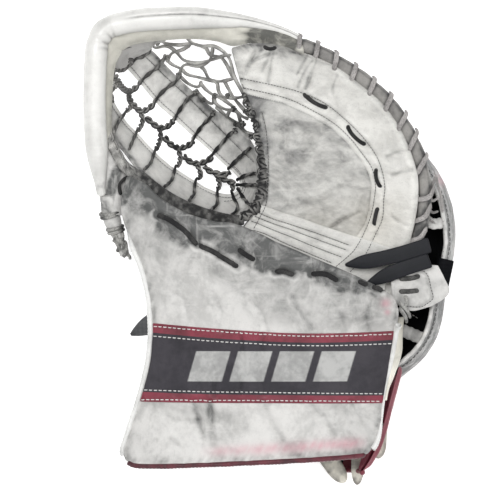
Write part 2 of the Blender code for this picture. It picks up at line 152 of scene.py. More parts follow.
def between(left, right, bottom, top):
    """A plan map (u, v) to (x, y) that fills four edge curves."""
    def plan(u, v):
        shape = np.broadcast(u, v).shape
        u, v = (np.broadcast_to(a, shape).ravel() for a in (u, v))
        a, b, c, d = left([0])[0], right([0])[0], left([1])[0], right([1])[0]
        uu, vv = u[:, None], v[:, None]
        sides = lerp(left(v), right(v), uu)
        ends = lerp(bottom(u), top(u), vv)
        flat = lerp(lerp(a, b, uu), lerp(c, d, uu), vv)
        return (sides + ends - flat).reshape(shape + (2,))

    return plan


def lattice(seed):
    return np.random.RandomState(seed).rand(64, 64)


def wander(x, y, size, octaves=3, seed=1, stretch=(1.0, 1.0), turn=0.0):
    """Soft cloudy variation from -1 to 1 over the plan, with features about size across."""
    c, s = math.cos(turn), math.sin(turn)
    a, b = (x * c + y * s) / stretch[0], (y * c - x * s) / stretch[1]
    total, weight, amount = 0.0, 0.0, 1.0
    for octave in range(octaves):
        table = lattice(seed + 17 * octave)
        p, q = a / size * 2**octave + 31.7, b / size * 2**octave + 11.3
        i, j = np.floor(p).astype(int), np.floor(q).astype(int)
        f, g = smooth(p - i), smooth(q - j)
        value = lerp(lerp(table[i % 64, j % 64], table[(i + 1) % 64, j % 64], f),
                     lerp(table[i % 64, (j + 1) % 64], table[(i + 1) % 64, (j + 1) % 64], f), g)
        total = total + amount * (2 * value - 1)
        weight += amount
        amount *= 0.5
    return total / weight * 1.6


def distance_to(xy, line):
    """Distance in plan from each point to a polyline, and how far along it the nearest place is."""
    line = np.asarray(line, float)
    shape = xy.shape[:-1]
    q = xy.reshape(-1, 2)
    best = np.full(len(q), 1e9)
    place = np.zeros(len(q))
    run = 0.0
    for a, b in zip(line[:-1], line[1:]):
        d = b - a
        length = max(1e-9, np.hypot(*d))
        t = np.clip(((q - a) @ d) / length**2, 0, 1)
        gap = np.hypot(*(q - a - t[:, None] * d).T)
        closer = gap < best
        best = np.where(closer, gap, best)
        place = np.where(closer, run + t * length, place)
        run += length
    return best.reshape(shape), place.reshape(shape)


def bell(distance, width):
    return np.exp(-(distance / width) ** 2)


def inside(xy, outline):
    """Which points lie inside a closed outline in plan."""
    shape = xy.shape[:-1]
    x, y = xy.reshape(-1, 2).T
    found = np.zeros(len(x), bool)
    pts = np.asarray(outline, float)
    for (x0, y0), (x1, y1) in zip(pts, np.roll(pts, -1, axis=0)):
        crosses = (y0 > y) != (y1 > y)
        with np.errstate(divide="ignore", invalid="ignore"):
            found ^= crosses & (x < (x1 - x0) * (y - y0) / (y1 - y0) + x0)
    return found.reshape(shape)


# ---------------------------------------------------------------- meshes


def grid_faces(rows, columns, wrap=False):
    i, j = np.meshgrid(np.arange(rows - 1), np.arange(columns if wrap else columns - 1),
                       indexing="ij")
    k = (j + 1) % columns
    return np.stack([i * columns + j, i * columns + k, (i + 1) * columns + k,
                     (i + 1) * columns + j], axis=-1).reshape(-1, 4)


def make(name, chunks, material, marks=None, angle=50):
    """One mesh object from a list of (vertices in mm, faces) chunks."""
    verts, faces, start = [], [], 0
    for v, f in chunks:
        v = np.asarray(v, float).reshape(-1, 3)
        verts.append(v)
        faces += [tuple(int(i) + start for i in face) for face in f]
        start += len(v)
    mesh = bpy.data.meshes.new(name)
    mesh.from_pydata((np.vstack(verts) * MM).tolist(), [], faces)
    mesh.validate()
    bm = bmesh.new()
    bm.from_mesh(mesh)
    bmesh.ops.recalc_face_normals(bm, faces=bm.faces[:])
    bm.to_mesh(mesh)
    bm.free()
    mesh.shade_smooth()
    mesh.set_sharp_from_angle(angle=math.radians(angle))
    for key, values in (marks or {}).items():
        layer = mesh.attributes.new(key, "FLOAT", "POINT")
        layer.data.foreach_set("value", np.asarray(values, np.float32).ravel())
    obj = bpy.data.objects.new(name, mesh)
    bpy.context.scene.collection.objects.link(obj)
    mesh.materials.append(material)
    return obj


def settle(obj):
    """The object's modifiers made part of its mesh."""
    bpy.context.view_layer.update()
    graph = bpy.context.evaluated_depsgraph_get()
    mesh = bpy.data.meshes.new_from_object(obj.evaluated_get(graph), depsgraph=graph)
    obj.modifiers.clear()
    obj.data = mesh
    return obj


def sweep(points, width, thick=None, up=None, sides=8, scale=None, twist=0.0, pointed=True):
    """A closed strand along the points: width across, thick along up, with rounded ends."""
    p = np.asarray(points, float)
    n = len(p)
    thick = width if thick is None else thick
    tangent = np.gradient(p, axis=0)
    tangent /= np.linalg.norm(tangent, axis=1)[:, None] + 1e-12
    guide = np.tile([0.0, 0.0, 1.0], (n, 1)) if up is None else np.asarray(up, float)
    side = np.cross(tangent, guide)
    bad = np.linalg.norm(side, axis=1) < 1e-3
    side[bad] = (1.0, 0.0, 0.0)
    side /= np.linalg.norm(side, axis=1)[:, None]
    above = np.cross(side, tangent)
    if twist:
        run = travelled(p)
        c, s = np.cos(run * twist)[:, None], np.sin(run * twist)[:, None]
        side, above = side * c + above * s, above * c - side * s
    size = np.ones(n) if scale is None else np.asarray(scale, float)
    if pointed:
        size = size.copy()
        size[0] *= 0.55
        size[-1] *= 0.55
    a = np.linspace(0, 2 * math.pi, sides, endpoint=False)
    ring = (np.cos(a)[None, :, None] * side[:, None] * (width / 2)
            + np.sin(a)[None, :, None] * above[:, None] * (thick / 2)) * size[:, None, None]
    verts = (p[:, None] + ring).reshape(-1, 3)
    faces = grid_faces(n, sides, wrap=True).tolist()
    faces.append(list(range(sides))[::-1])
    faces.append(list(range((n - 1) * sides, n * sides)))
    return verts, faces


def twisted_pair(points, strand, pitch, up=None, start=0.0, sides=7, spread=0.5):
    """Two strands wound round each other along the points."""
    p = resample(points, 1.1)
    tangent = np.gradient(p, axis=0)
    tangent /= np.linalg.norm(tangent, axis=1)[:, None]
    guide = np.tile([0.0, 0.0, 1.0], (len(p), 1)) if up is None else up
    side = np.cross(tangent, guide)
    side /= np.linalg.norm(side, axis=1)[:, None]
    above = np.cross(side, tangent)
    run = travelled(p)
    chunks = []
    for phase in (0.0, math.pi):
        a = run / pitch * 2 * math.pi + start + phase
        line = p + (side * np.cos(a)[:, None] + above * np.sin(a)[:, None]) * strand * spread
        chunks.append(sweep(line, strand, strand * 0.8, sides=sides))
    return chunks


def border_points(rows, columns):
    """The points round the border of a grid, in order."""
    loop = ([(0, j) for j in range(columns)] + [(i, columns - 1) for i in range(1, rows)]
            + [(rows - 1, j) for j in range(columns - 2, -1, -1)]
            + [(i, 0) for i in range(rows - 2, 0, -1)])
    return np.array([i * columns + j for i, j in loop])


def closed_faces(rows, columns):
    """Faces of a sheet with two like grids of points, one on each side, joined round the border."""
    count = rows * columns
    index = border_points(rows, columns)
    faces = grid_faces(rows, columns).tolist() + (grid_faces(rows, columns)[:, ::-1] + count).tolist()
    return faces + np.stack([index, index + count, np.roll(index, -1) + count, np.roll(index, -1)],
                            axis=1).tolist()


def panel(name, top, thickness, material, marks=None, lip=1.2, angle=50):
    """A leather panel: a dense grid of top points, turned down round its edge, with a flat back.
    marks are per-vertex values over the grid."""
    rows, columns = top.shape[:2]
    index = border_points(rows, columns)
    verts = [top.reshape(-1, 3)]
    edge = verts[0][index]
    ahead = np.roll(edge, -1, axis=0) - np.roll(edge, 1, axis=0)
    out = np.stack([ahead[:, 1], -ahead[:, 0], np.zeros(len(edge))], axis=1)
    out /= np.linalg.norm(out, axis=1)[:, None] + 1e-9
    middle = edge.mean(axis=0)
    if ((edge - middle) * out).sum() < 0:
        out = -out
    # corners get an outward direction between their two sides
    out = (out + np.roll(out, 1, axis=0) + np.roll(out, -1, axis=0)) / 3
    drop = np.array([0.0, 0.0, -1.0])
    rings = [(0.55, 0.25), (0.9, 0.75), (1.0, 1.4)]
    faces = grid_faces(rows, columns).tolist()
    previous = index
    start = rows * columns
    extra = []
    for o, d in rings + [(1.0, None)]:
        fall = thickness if d is None else min(thickness * 0.8, d * lip)
        ring = edge + out * o * lip + drop * fall
        extra.append(ring)
        now = start + np.arange(len(index))
        for k in range(len(index)):
            m = (k + 1) % len(index)
            faces.append([previous[k], now[k], now[m], previous[m]])
        previous = now
        start += len(index)
    back = verts[0] + drop * thickness
    inner = start + np.arange(rows * columns)
    faces += [[inner[i] for i in face[::-1]] for face in grid_faces(rows, columns).tolist()]
    for k in range(len(index)):
        m = (k + 1) % len(index)
        faces.append([previous[k], inner[index[k]], inner[index[m]], previous[m]])
    spread = {}
    for key, values in (marks or {}).items():
        flat = np.asarray(values, float).ravel()
        spread[key] = np.concatenate([flat] + [flat[index]] * 4 + [flat])
    return make(name, [(np.vstack(verts + extra + [back]), faces)], material, spread, angle)


def thick_sheet(name, grid, thickness, material, marks=None, rounding=0.5, angle=60, offset=0.0):
    """A closed sheet about a grid of points, with rounded rims. offset moves it along its facing."""
    along = np.gradient(grid, axis=1)
    across = np.gradient(grid, axis=0)
    facing = np.cross(along, across)
    facing /= np.linalg.norm(facing, axis=2)[..., None] + 1e-12
    rows, columns = grid.shape[:2]
    middle = grid + facing * offset
    half = facing * thickness / 2
    index = border_points(rows, columns)
    flat_middle, flat_facing = middle.reshape(-1, 3), facing.reshape(-1, 3)
    edge = flat_middle[index]
    ahead = np.roll(edge, -1, axis=0) - np.roll(edge, 1, axis=0)
    out = np.cross(ahead, flat_facing[index])
    out /= np.linalg.norm(out, axis=1)[:, None] + 1e-9
    if ((edge - flat_middle.mean(axis=0)) * out).sum() < 0:
        out = -out
    out = (out + np.roll(out, 1, axis=0) + np.roll(out, -1, axis=0)) / 3
    count = rows * columns
    verts = [(middle + half).reshape(-1, 3), (middle - half).reshape(-1, 3)]
    faces = grid_faces(rows, columns).tolist() + (grid_faces(rows, columns)[:, ::-1] + count).tolist()
    previous, start = index, 2 * count
    for o, h in ((0.7, 0.38), (1.0, 0.0), (0.7, -0.38)):
        ring = edge + out * o * rounding * thickness / 2 + flat_facing[index] * h * thickness
        verts.append(ring)
        now = start + np.arange(len(index))
        faces += np.stack([previous, now, np.roll(now, -1), np.roll(previous, -1)], axis=1).tolist()
        previous, start = now, start + len(index)
    last = index + count
    faces += np.stack([previous, last, np.roll(last, -1), np.roll(previous, -1)], axis=1).tolist()
    spread = {}
    for key, values in (marks or {}).items():
        flat = np.asarray(values, float).ravel()
        spread[key] = np.concatenate([flat, flat] + [flat[index]] * 3)
    return make(name, [(np.vstack(verts), faces)], material, spread, angle)


def sewn(points, facing, length=2.8, gap=1.4, thread=0.8, lift=0.3):
    """Stitches along a line of points in space, lying on a face."""
    p = np.asarray(points, float)
    run = travelled(p)
    chunks = []
    at = 0.4
    while at + length < run[-1]:
        t = at + length * np.array([0.0, 0.12, 0.5, 0.88, 1.0])
        place = np.stack([np.interp(t, run, p[:, c]) for c in range(3)], axis=1)
        up = np.stack([np.interp(t, run, facing[:, c]) for c in range(3)], axis=1)
        place = place + up * (np.array([-0.6, 0.1, 0.3, 0.1, -0.6]) + lift)[:, None]
        chunks.append(sweep(place, thread, thread * 0.8, up=up, sides=6))
        at += length + gap
    return chunks


def grid_facing(grid):
    along = np.gradient(grid, axis=1)
    across = np.gradient(grid, axis=0)
    facing = np.cross(along, across)
    return facing / (np.linalg.norm(facing, axis=2)[..., None] + 1e-12)


class Seen:
    """A surface that places seen from above are dropped onto."""

    def __init__(self, *grids):
        verts, faces, start = [], [], 0
        for g in grids:
            verts.append(g.reshape(-1, 3))
            faces += (grid_faces(*g.shape[:2]) + start).tolist()
            start += g.shape[0] * g.shape[1]
        self.tree = BVHTree.FromPolygons(np.vstack(verts).tolist(), faces)

    def at(self, x, y, lift=0.0):
        toward = (Vector((x, y, FACE_PLANE)) - EYE).normalized()
        hit, normal, _, _ = self.tree.ray_cast(EYE, toward)
        if hit is None:
            near = self.tree.find_nearest(Vector((x, y, FACE_PLANE - 20)))
            hit, normal = near[0], near[1]
        if normal.z < 0:
            normal = -normal
        return hit + normal * lift, normal

    def drop(self, line, lift=0.0):
        """Points and surface normals under a plan polyline. lift may be one number or one a point."""
        lifts = np.broadcast_to(np.asarray(lift, float), (len(line),))
        found = [self.at(float(x), float(y), float(h)) for (x, y), h in zip(line, lifts)]
        return np.array([f[0][:] for f in found]), np.array([f[1][:] for f in found])


def stitches(surface, line, length=3.2, gap=1.6, thread=0.7, lift=0.15):
    """Thread stitches along a plan polyline on a surface."""
    p = resample(line, 0.4)
    run = travelled(p)
    chunks = []
    at = 0.3
    while at + length < run[-1]:
        t = at + length * np.array([0.0, 0.12, 0.5, 0.88, 1.0])
        xy = np.stack([np.interp(t, run, p[:, 0]), np.interp(t, run, p[:, 1])], axis=1)
        places, normals = surface.drop(xy, np.array([-0.5, 0.1, 0.3, 0.1, -0.5]) + lift)
        chunks.append(sweep(places, thread, thread * 0.8, up=normals, sides=5))
        at += length + gap
    return chunks


def lace_dash(surface, line, width=4.6, thick=2.0, lift=0.5, sink=2.5):
    """A stretch of flat lace that comes out of a slit, lies on the surface and goes in again."""
    p = resample(line, 1.2)
    n = len(p)
    t = np.linspace(0, 1, n)
    rise = lift * np.ones(n)
    edge = np.minimum(t, 1 - t) * (n - 1) * 1.2
    rise -= sink * (1 - smooth(edge / 3.0))
    places, normals = surface.drop(p, rise)
    return sweep(places, width, thick, up=normals, sides=10)

# ---------------------------------------------------------------- materials


class Nodes:
    """Shorthand for a material's node tree."""

    def __init__(self, name, roughness=0.5, specular=0.5, sheen=0.0, coat=0.0):
        self.material = bpy.data.materials.new(name)
        self.material.use_nodes = True
        self.tree = self.material.node_tree
        self.shader = self.tree.nodes["Principled BSDF"]
        self.shader.inputs["Roughness"].default_value = roughness
        self.shader.inputs["Specular IOR Level"].default_value = specular
        self.shader.inputs["Sheen Weight"].default_value = sheen
        self.shader.inputs["Coat Weight"].default_value = coat
        self.place = self.add("ShaderNodeTexCoord").outputs["Object"]

    def add(self, kind, **settings):
        node = self.tree.nodes.new(kind)
        for key, value in settings.items():
            setattr(node, key, value)
        return node

    def set(self, node, **inputs):
        for key, value in inputs.items():
            socket = node.inputs[key.replace("_", " ")]
            if isinstance(value, bpy.types.NodeSocket):
                self.tree.links.new(value, socket)
            else:
                socket.default_value = value
        return node

    def noise(self, scale, detail=3.0, rough=0.55, place=None, warp=0.0):
        node = self.set(self.add("ShaderNodeTexNoise"), Scale=scale, Detail=detail,
                        Roughness=rough, Distortion=warp, Vector=place or self.place)
        return node.outputs["Fac"]

    def strokes(self, scale, low, high, stretch, turn):
        """Short soft strokes in one direction, 1 on a stroke and 0 away from it."""
        along = self.stretch(stretch[0], stretch[1], 1.0, turn)
        return self.ramp(self.noise(scale, 2.5, 0.5, along, 0.25), low, high)

    def cells(self, scale, feature="F1", place=None):
        node = self.add("ShaderNodeTexVoronoi", feature=feature)
        self.set(node, Scale=scale, Vector=place or self.place)
        return node.outputs["Distance"]

    def stretch(self, x, y, z, turn=0.0):
        node = self.add("ShaderNodeMapping")
        self.set(node, Vector=self.place, Scale=(x, y, z), Rotation=(0, 0, turn))
        return node.outputs["Vector"]

    def ramp(self, value, low, high):
        """value spread so that low becomes 0 and high becomes 1."""
        node = self.add("ShaderNodeMapRange", interpolation_type="SMOOTHSTEP")
        self.set(node, Value=value, From_Min=low, From_Max=high)
        return node.outputs["Result"]

    def math(self, operation, a, b=0.0):
        node = self.add("ShaderNodeMath", operation=operation)
        for socket, value in zip(node.inputs, (a, b)):
            if isinstance(value, bpy.types.NodeSocket):
                self.tree.links.new(value, socket)
            else:
                socket.default_value = value
        return node.outputs[0]

    def mix(self, a, b, share):
        node = self.add("ShaderNodeMix", data_type="RGBA")
        for socket, value in ((node.inputs[6], a), (node.inputs[7], b), (node.inputs[0], share)):
            if isinstance(value, bpy.types.NodeSocket):
                self.tree.links.new(value, socket)
            elif isinstance(value, tuple):
                socket.default_value = (*value, 1.0)
            else:
                socket.default_value = value
        return node.outputs[2]

    def mark(self, name):
        return self.add("ShaderNodeAttribute", attribute_name=name).outputs["Fac"]

    def finish(self, colour, roughness=None, height=None, distance=0.0002, strength=1.0):
        self.tree.links.new(colour, self.shader.inputs["Base Color"])
        if roughness is not None:
            self.tree.links.new(roughness, self.shader.inputs["Roughness"])
        if height is not None:
            bump = self.set(self.add("ShaderNodeBump"), Height=height, Strength=strength,
                            Distance=distance)
            self.tree.links.new(bump.outputs["Normal"], self.shader.inputs["Normal"])
        return self.material


def leather(name, clean, worn, dark, grain=900.0, mottling=0.5, rough=(0.42, 0.62), bump=0.00016,
            sheen=0.0, flecks=0.55, coat=0.0, streak=(1.0, 1.0, 0.0), scratch=0.4, printed=None,
            specular=0.5):
    """Leather with grain, cloudy wear, scratches, grime and painted shade.
    The marks come with the mesh: one for grime together with painted shade in creases, dents and grooves,
    one named shade for painted shade, and blush, stain and print."""
    n = Nodes(name, specular=specular, sheen=sheen, coat=coat)
    along = n.stretch(streak[0], streak[1], 1.0, streak[2])
    cloud = n.noise(34.0, 5.0, 0.6, along)
    swirl = n.noise(30.0, 6.0, 0.62, along, warp=1.4)
    fine = n.noise(190.0, 4.0, 0.65, along)
    speck = n.noise(1100.0, 2.0)
    mixed = n.math("ADD", n.math("MULTIPLY", cloud, 0.40),
                   n.math("ADD", n.math("MULTIPLY", swirl, 0.35), n.math("MULTIPLY", fine, 0.25)))
    colour = n.mix(clean, worn, n.math("MULTIPLY", n.ramp(mixed, 0.43, 0.60), mottling))
    patchy = n.math("ADD", n.math("MULTIPLY", n.ramp(swirl, 0.30, 0.70), 0.75),
                    n.math("MULTIPLY", fine, 0.65))
    # this mark darkens the leather with grime and also with painted shade in creases, dents and grooves
    dirt_and_shade = n.math("MINIMUM", n.math("MULTIPLY", n.mark("dirt_and_shade"), n.math("ADD", 0.40, patchy)), 1.0)
    darkening = n.mix(dark, worn, n.math("MULTIPLY", n.ramp(n.noise(75.0, 5.0, 0.65, along, 0.9), 0.46,
                                                       0.70), 0.42))
    colour = n.mix(colour, darkening, dirt_and_shade)
    light_lines = n.math("MAXIMUM", n.strokes(150.0, 0.58, 0.74, (0.16, 1.3), -0.5),
                         n.strokes(130.0, 0.60, 0.76, (1.3, 0.18), 0.25))
    light_lines = n.math("MULTIPLY", light_lines, n.ramp(cloud, 0.36, 0.60))
    colour = n.mix(colour, clean, n.math("MULTIPLY", light_lines, scratch))
    dark_lines = n.math("MAXIMUM", n.strokes(110.0, 0.60, 0.74, (1.5, 0.14), 0.12),
                        n.strokes(120.0, 0.62, 0.76, (0.15, 1.4), -0.35))
    dark_lines = n.math("MULTIPLY", dark_lines, n.ramp(fine, 0.42, 0.62))
    colour = n.mix(colour, dark, n.math("MULTIPLY", dark_lines, 0.30 * scratch))
    colour = n.mix(colour, dark, n.math("MULTIPLY", n.ramp(speck, 0.58, 0.72), 0.22 * flecks))
    colour = n.mix(colour, (0.50, 0.42, 0.26), n.math("MULTIPLY", n.mark("stain"), 0.35))
    colour = n.mix(colour, (0.66, 0.30, 0.36), n.mark("blush"))
    if printed:
        ink = n.mix(printed, worn, n.math("MULTIPLY", n.ramp(mixed, 0.44, 0.60), 0.35))
        colour = n.mix(colour, ink, n.mark("print"))
    colour = n.mix(colour, (0.012, 0.012, 0.013), n.mark("shade"))
    creases = n.cells(grain, "DISTANCE_TO_EDGE")
    pores = n.math("MULTIPLY", n.ramp(creases, 0.0, 0.16), 0.6)
    height = n.math("ADD", pores, n.math("MULTIPLY", n.noise(420.0, 3.0), 0.9))
    height = n.math("SUBTRACT", height, n.math("MULTIPLY", dark_lines, 1.5))
    sheen_map = n.math("ADD", rough[0], n.math("MULTIPLY", cloud, rough[1] - rough[0]))
    return n.finish(colour, sheen_map, height, bump)


def lace_material(name, clean, worn, dark, share=0.5, rough=0.75):
    """Waxed braided lace: a fine weave of crossing yarns with worn, fuzzy patches."""
    n = Nodes(name, roughness=rough, specular=0.2, sheen=0.08)
    patch = n.noise(60.0, 4.0, 0.6)
    yarn = n.cells(1500.0)
    colour = n.mix(clean, worn, n.math("MULTIPLY", n.ramp(patch, 0.42, 0.68), share))
    colour = n.mix(colour, dark, n.math("MULTIPLY", n.ramp(yarn, 0.35, 0.8), 0.55))
    # the mark darkens the lace: its own dark colour on some laces, painted shade on one side of the wraps
    # at the thumb's tip
    colour = n.mix(colour, dark, n.math("MINIMUM", n.mark("dirt_and_shade"), 1.0))
    return n.finish(colour, None, n.math("ADD", yarn, n.noise(900.0, 2.0)), 0.00035)


def weave_material(name, base, raised, scale=1400.0, rough=0.7, bump=0.00022, sheen=0.0):
    """Woven webbing or knit: crossing ribs at right angles."""
    n = Nodes(name, roughness=rough, specular=0.0, sheen=sheen)
    warp = n.set(n.add("ShaderNodeTexWave", wave_type="BANDS", bands_direction="X"),
                 Scale=scale / 6.3, Distortion=0.6, Detail=1.0, Vector=n.place).outputs["Fac"]
    weft = n.set(n.add("ShaderNodeTexWave", wave_type="BANDS", bands_direction="Y"),
                 Scale=scale / 6.3, Distortion=0.6, Detail=1.0, Vector=n.place).outputs["Fac"]
    cross = n.math("MULTIPLY", warp, weft)
    patch = n.noise(50.0, 3.0)
    colour = n.mix(base, raised, n.math("MULTIPLY", cross, n.math("ADD", 0.5, patch)))
    return n.finish(colour, None, cross, bump)


WHITE = leather("white_leather_worn", (0.70, 0.69, 0.67), (0.47, 0.465, 0.45), (0.085, 0.087, 0.085),
                mottling=0.68, rough=(0.40, 0.62), streak=(1.0, 0.9, 0.35), scratch=0.4)
PALM = leather("palm_leather", (0.88, 0.87, 0.83), (0.62, 0.61, 0.575), (0.14, 0.14, 0.14),
               mottling=0.6, grain=1300.0, rough=(0.5, 0.72), bump=0.0002, flecks=1.2,
               streak=(0.7, 1.3, 0.6), scratch=0.25)
RIM = leather("rim_leather", (0.78, 0.775, 0.75), (0.64, 0.635, 0.61), (0.12, 0.12, 0.12),
              mottling=0.5, grain=700.0, rough=(0.25, 0.45), bump=0.00008, coat=0.15, flecks=0.3,
              scratch=0.25)
BEIGE = leather("inner_wall_leather", (0.65, 0.635, 0.57), (0.51, 0.50, 0.44), (0.10, 0.10, 0.09),
                mottling=0.6, rough=(0.45, 0.65), scratch=0.2)
TRAP = leather("trap_leather", (0.90, 0.89, 0.86), (0.74, 0.73, 0.70), (0.12, 0.12, 0.12),
               mottling=0.7, rough=(0.45, 0.65), flecks=0.9, scratch=0.2)
BINDING = leather("binding_leather", (0.355, 0.342, 0.322), (0.23, 0.222, 0.21), (0.06, 0.06, 0.06),
                  mottling=0.9, rough=(0.5, 0.75), flecks=1.2, scratch=0.3)
BURGUNDY = leather("burgundy_leather_worn", (0.245, 0.034, 0.058), (0.155, 0.024, 0.036),
                   (0.05, 0.012, 0.018), mottling=0.8, rough=(0.32, 0.5), grain=1100.0, scratch=0.2)
BLACK = leather("black_leather_worn", (0.056, 0.052, 0.061), (0.038, 0.036, 0.043),
                (0.02, 0.02, 0.022), mottling=0.8, rough=(0.3, 0.5), grain=1100.0, flecks=0.3,
                scratch=0.15, printed=(0.50, 0.50, 0.49), specular=0.2)
TAB = leather("tab_leather", (0.93, 0.90, 0.79), (0.74, 0.71, 0.61), (0.13, 0.12, 0.11),
              mottling=0.6, rough=(0.4, 0.6))
STRAP = leather("strap_skin", (0.012, 0.013, 0.016), (0.018, 0.019, 0.023), (0.005, 0.005, 0.005),
                mottling=0.5, rough=(0.38, 0.5), grain=1500.0, bump=0.00006, flecks=0.2,
                specular=0.16)
PIPING = leather("piping_skin", (0.87, 0.87, 0.85), (0.66, 0.66, 0.64), (0.3, 0.3, 0.3),
                 mottling=0.5, rough=(0.3, 0.5), bump=0.00007)
DARK_LACE = lace_material("dark_lace_wax", (0.022, 0.022, 0.023), (0.085, 0.083, 0.08),
                          (0.006, 0.006, 0.006), share=0.6)
GREY_LACE = lace_material("grey_lace_wax", (0.56, 0.535, 0.52), (0.33, 0.315, 0.305),
                          (0.09, 0.085, 0.085), share=0.9)
MIXED_LACE = lace_material("mixed_lace_wax", (0.50, 0.495, 0.47), (0.10, 0.10, 0.10),
                           (0.02, 0.02, 0.02), share=1.0)
THREAD_DARK = lace_material("dark_thread", (0.05, 0.048, 0.047), (0.13, 0.12, 0.12),
                            (0.02, 0.02, 0.02), share=0.5, rough=0.55)
THREAD_WHITE = lace_material("white_thread", (0.86, 0.85, 0.83), (0.66, 0.65, 0.62),
                             (0.4, 0.4, 0.4), share=0.5, rough=0.5)
MESH = weave_material("black_knit", (0.006, 0.006, 0.007), (0.03, 0.03, 0.032), 2200.0, 0.9)
WEBBING = weave_material("black_webbing_weave", (0.005, 0.005, 0.006), (0.024, 0.025, 0.028),
                         1700.0, 0.55)
RIBBED = weave_material("grey_webbing_weave", (0.09, 0.092, 0.096), (0.26, 0.264, 0.27),
                        1700.0, 0.6)
BOARD = leather("liner_board_skin", (0.55, 0.55, 0.53), (0.45, 0.45, 0.43), (0.2, 0.2, 0.2),
                rough=(0.4, 0.55), bump=0.00005)

# ---------------------------------------------------------------- thumb and cuff panel

cuff_left = knotted(
    (0, (-124, -184)), (0.04, (-126, -176)), (0.10, (-121, -160)), (0.20, (-112.5, -134)),
    (0.34, (-104, -102)), (0.47, (-101, -75)), (0.5, (-101, -67)), (0.6, (-103, -43)),
    (0.7, (-109, -18)), (0.8, (-119, 7)), (0.9, (-127, 34)), (1, (-122, 60)))
cuff_right = knotted(
    (0, (84, -178)), (0.04, (90, -170)), (0.10, (94.5, -157)), (0.20, (97.5, -134)),
    (0.34, (102, -106)), (0.47, (106, -80)), (0.5, (107, -72)), (0.6, (108, -67)),
    (0.75, (109, -61)), (1, (109, -54)))
cuff_bottom = curve(
    [(-124, -184), (-117, -187), (-103, -187.5), (-60, -186), (26, -182), (75, -179), (84, -178)])
cuff_top_edge = curve(
    [(-122, 60), (-108, 53), (-95, 41), (-73, 28), (-48, 20.5), (-36, 19.5), (-26, 17), (-7, 9),
     (4.5, 3), (17, -2.2),
     (34, -9.5), (52, -17), (68, -23.8), (80, -29.5), (95, -37), (105, -44.5), (109, -54)])
cuff_plan = between(cuff_left, cuff_right, cuff_bottom, cuff_top_edge)

# folds pressed into the panel, and the lace dashes along the thumb's edge
CUFF_CREASES = [
    ([(-51.6, -135), (-50.7, -153.1), (-49, -171.1)], 1.3, 2.2),
    ([(-67.1, -133.3), (-61.9, -148.8), (-57.6, -164.3)], 1.0, 2.4),
    ([(-88.6, -145.3), (-77.4, -149.6), (-61.1, -148.8)], 0.7, 2.0),
    ([(-5.2, -135), (1.7, -148.8), (11.2, -166)], 1.0, 2.4),
    ([(33.5, -133.3), (47.3, -147.1), (56.8, -162.5)], 0.8, 2.6),
    ([(70.5, -134.2), (77.4, -147.1), (87.7, -160.8)], 0.7, 2.4),
    ([(-85.1, -166), (-75.7, -173.7)], 0.7, 1.8),
    ([(-24.1, -76.5), (-23.2, -101.5), (-25.8, -128.1)], 0.8, 1.6),
    ([(-6, -75.7), (-6.9, -102.3), (-5.2, -128.1)], 0.7, 1.6),
    ([(-48.2, -104.1), (-48.2, -128.1)], 0.6, 1.4),
    ([(-135.9, 10.3), (-123, -12.9), (-110.9, -37), (-105.8, -61.1)], 0.8, 3.0),
    ([(-86, -37), (-73.1, -45.6), (-68.8, -64.5)], 0.8, 3.2),
    ([(-47.3, -42.1), (-41.3, -54.2), (-43.9, -69.7)], 0.7, 3.0),
    ([(-17.2, -45.6), (-6.9, -55.9), (-1.7, -71.4)], 0.7, 3.2),
    ([(18.9, -42.1), (25.8, -55.9), (36.1, -69.7)], 0.9, 3.0),
    ([(51.6, -45.6), (60.2, -55.9), (65.4, -71.4)], 0.7, 3.0),
    ([(87.7, -45.6), (82.6, -59.3), (86, -72.2)], 0.8, 2.6),
]
THUMB_DASHES = [
    [(-97.2, 27.5), (-89.4, 24.9), (-80.8, 19.8), (-72.2, 12.9), (-62.8, 1.7)],
    [(-61.1, 1.7), (-49.9, -3.4), (-39.6, -9.5), (-27.5, -17.2)],
    [(-27.5, -1.7), (-21.5, -6), (-12.9, -11.2)],
    [(4.3, -21.5), (11.2, -20.6), (20.6, -24.1)],
    [(35.3, -23.2), (47.3, -23.2), (58.5, -29.2)],
    [(75.7, -29.2), (84.3, -32.7)],
    [(87.7, -34.4), (95.5, -36.1)],
]


def cuff_surface(u, v, lift=0.0):
    """Points of the panel's face, with the hollows of its folds and laces."""
    plan = cuff_plan(u, v)
    x, y = plan[..., 0], plan[..., 1]
    z = 92 + 26 * smooth(v) - 18 * np.abs(2 * u - 1) ** 3
    for line, depth, width in CUFF_CREASES:
        d, _ = distance_to(plan, resample(line, 4.0))
        d = d + 1.2 * wander(x, y, 14, 2, seed=3)
        z = z - depth * bell(d, width) + 0.45 * depth * bell(np.abs(d) - 2.2 * width, width)
    for line in THUMB_DASHES:
        d, _ = distance_to(plan, resample(line, 3.0))
        z = z - 1.5 * bell(d, 3.2) + 0.7 * bell(d - 6.0, 3.0)
    z = z + 1.1 * wander(x, y, 46, 3, seed=5, stretch=(0.8, 1.4))
    z = z + 0.35 * wander(x, y, 11, 2, seed=9, stretch=(0.7, 1.5), turn=0.3)
    edge = np.minimum(np.minimum(u, 1 - u) * 220, np.minimum(v, 1 - v) * 250)
    z = z + 0.5 * bell(edge - 1.0, 3.0) * wander(x, y, 7, 1, seed=12)
    return np.concatenate([plan, (z + lift)[..., None]], axis=-1)


def cuff_grid(nu, nv, v_low=0.0, v_high=1.0, u_low=0.0, u_high=1.0, lift=0.0):
    v, u = np.meshgrid(np.linspace(v_low, v_high, nv), np.linspace(u_low, u_high, nu),
                       indexing="ij")
    return u, v, cuff_surface(u, v, lift)


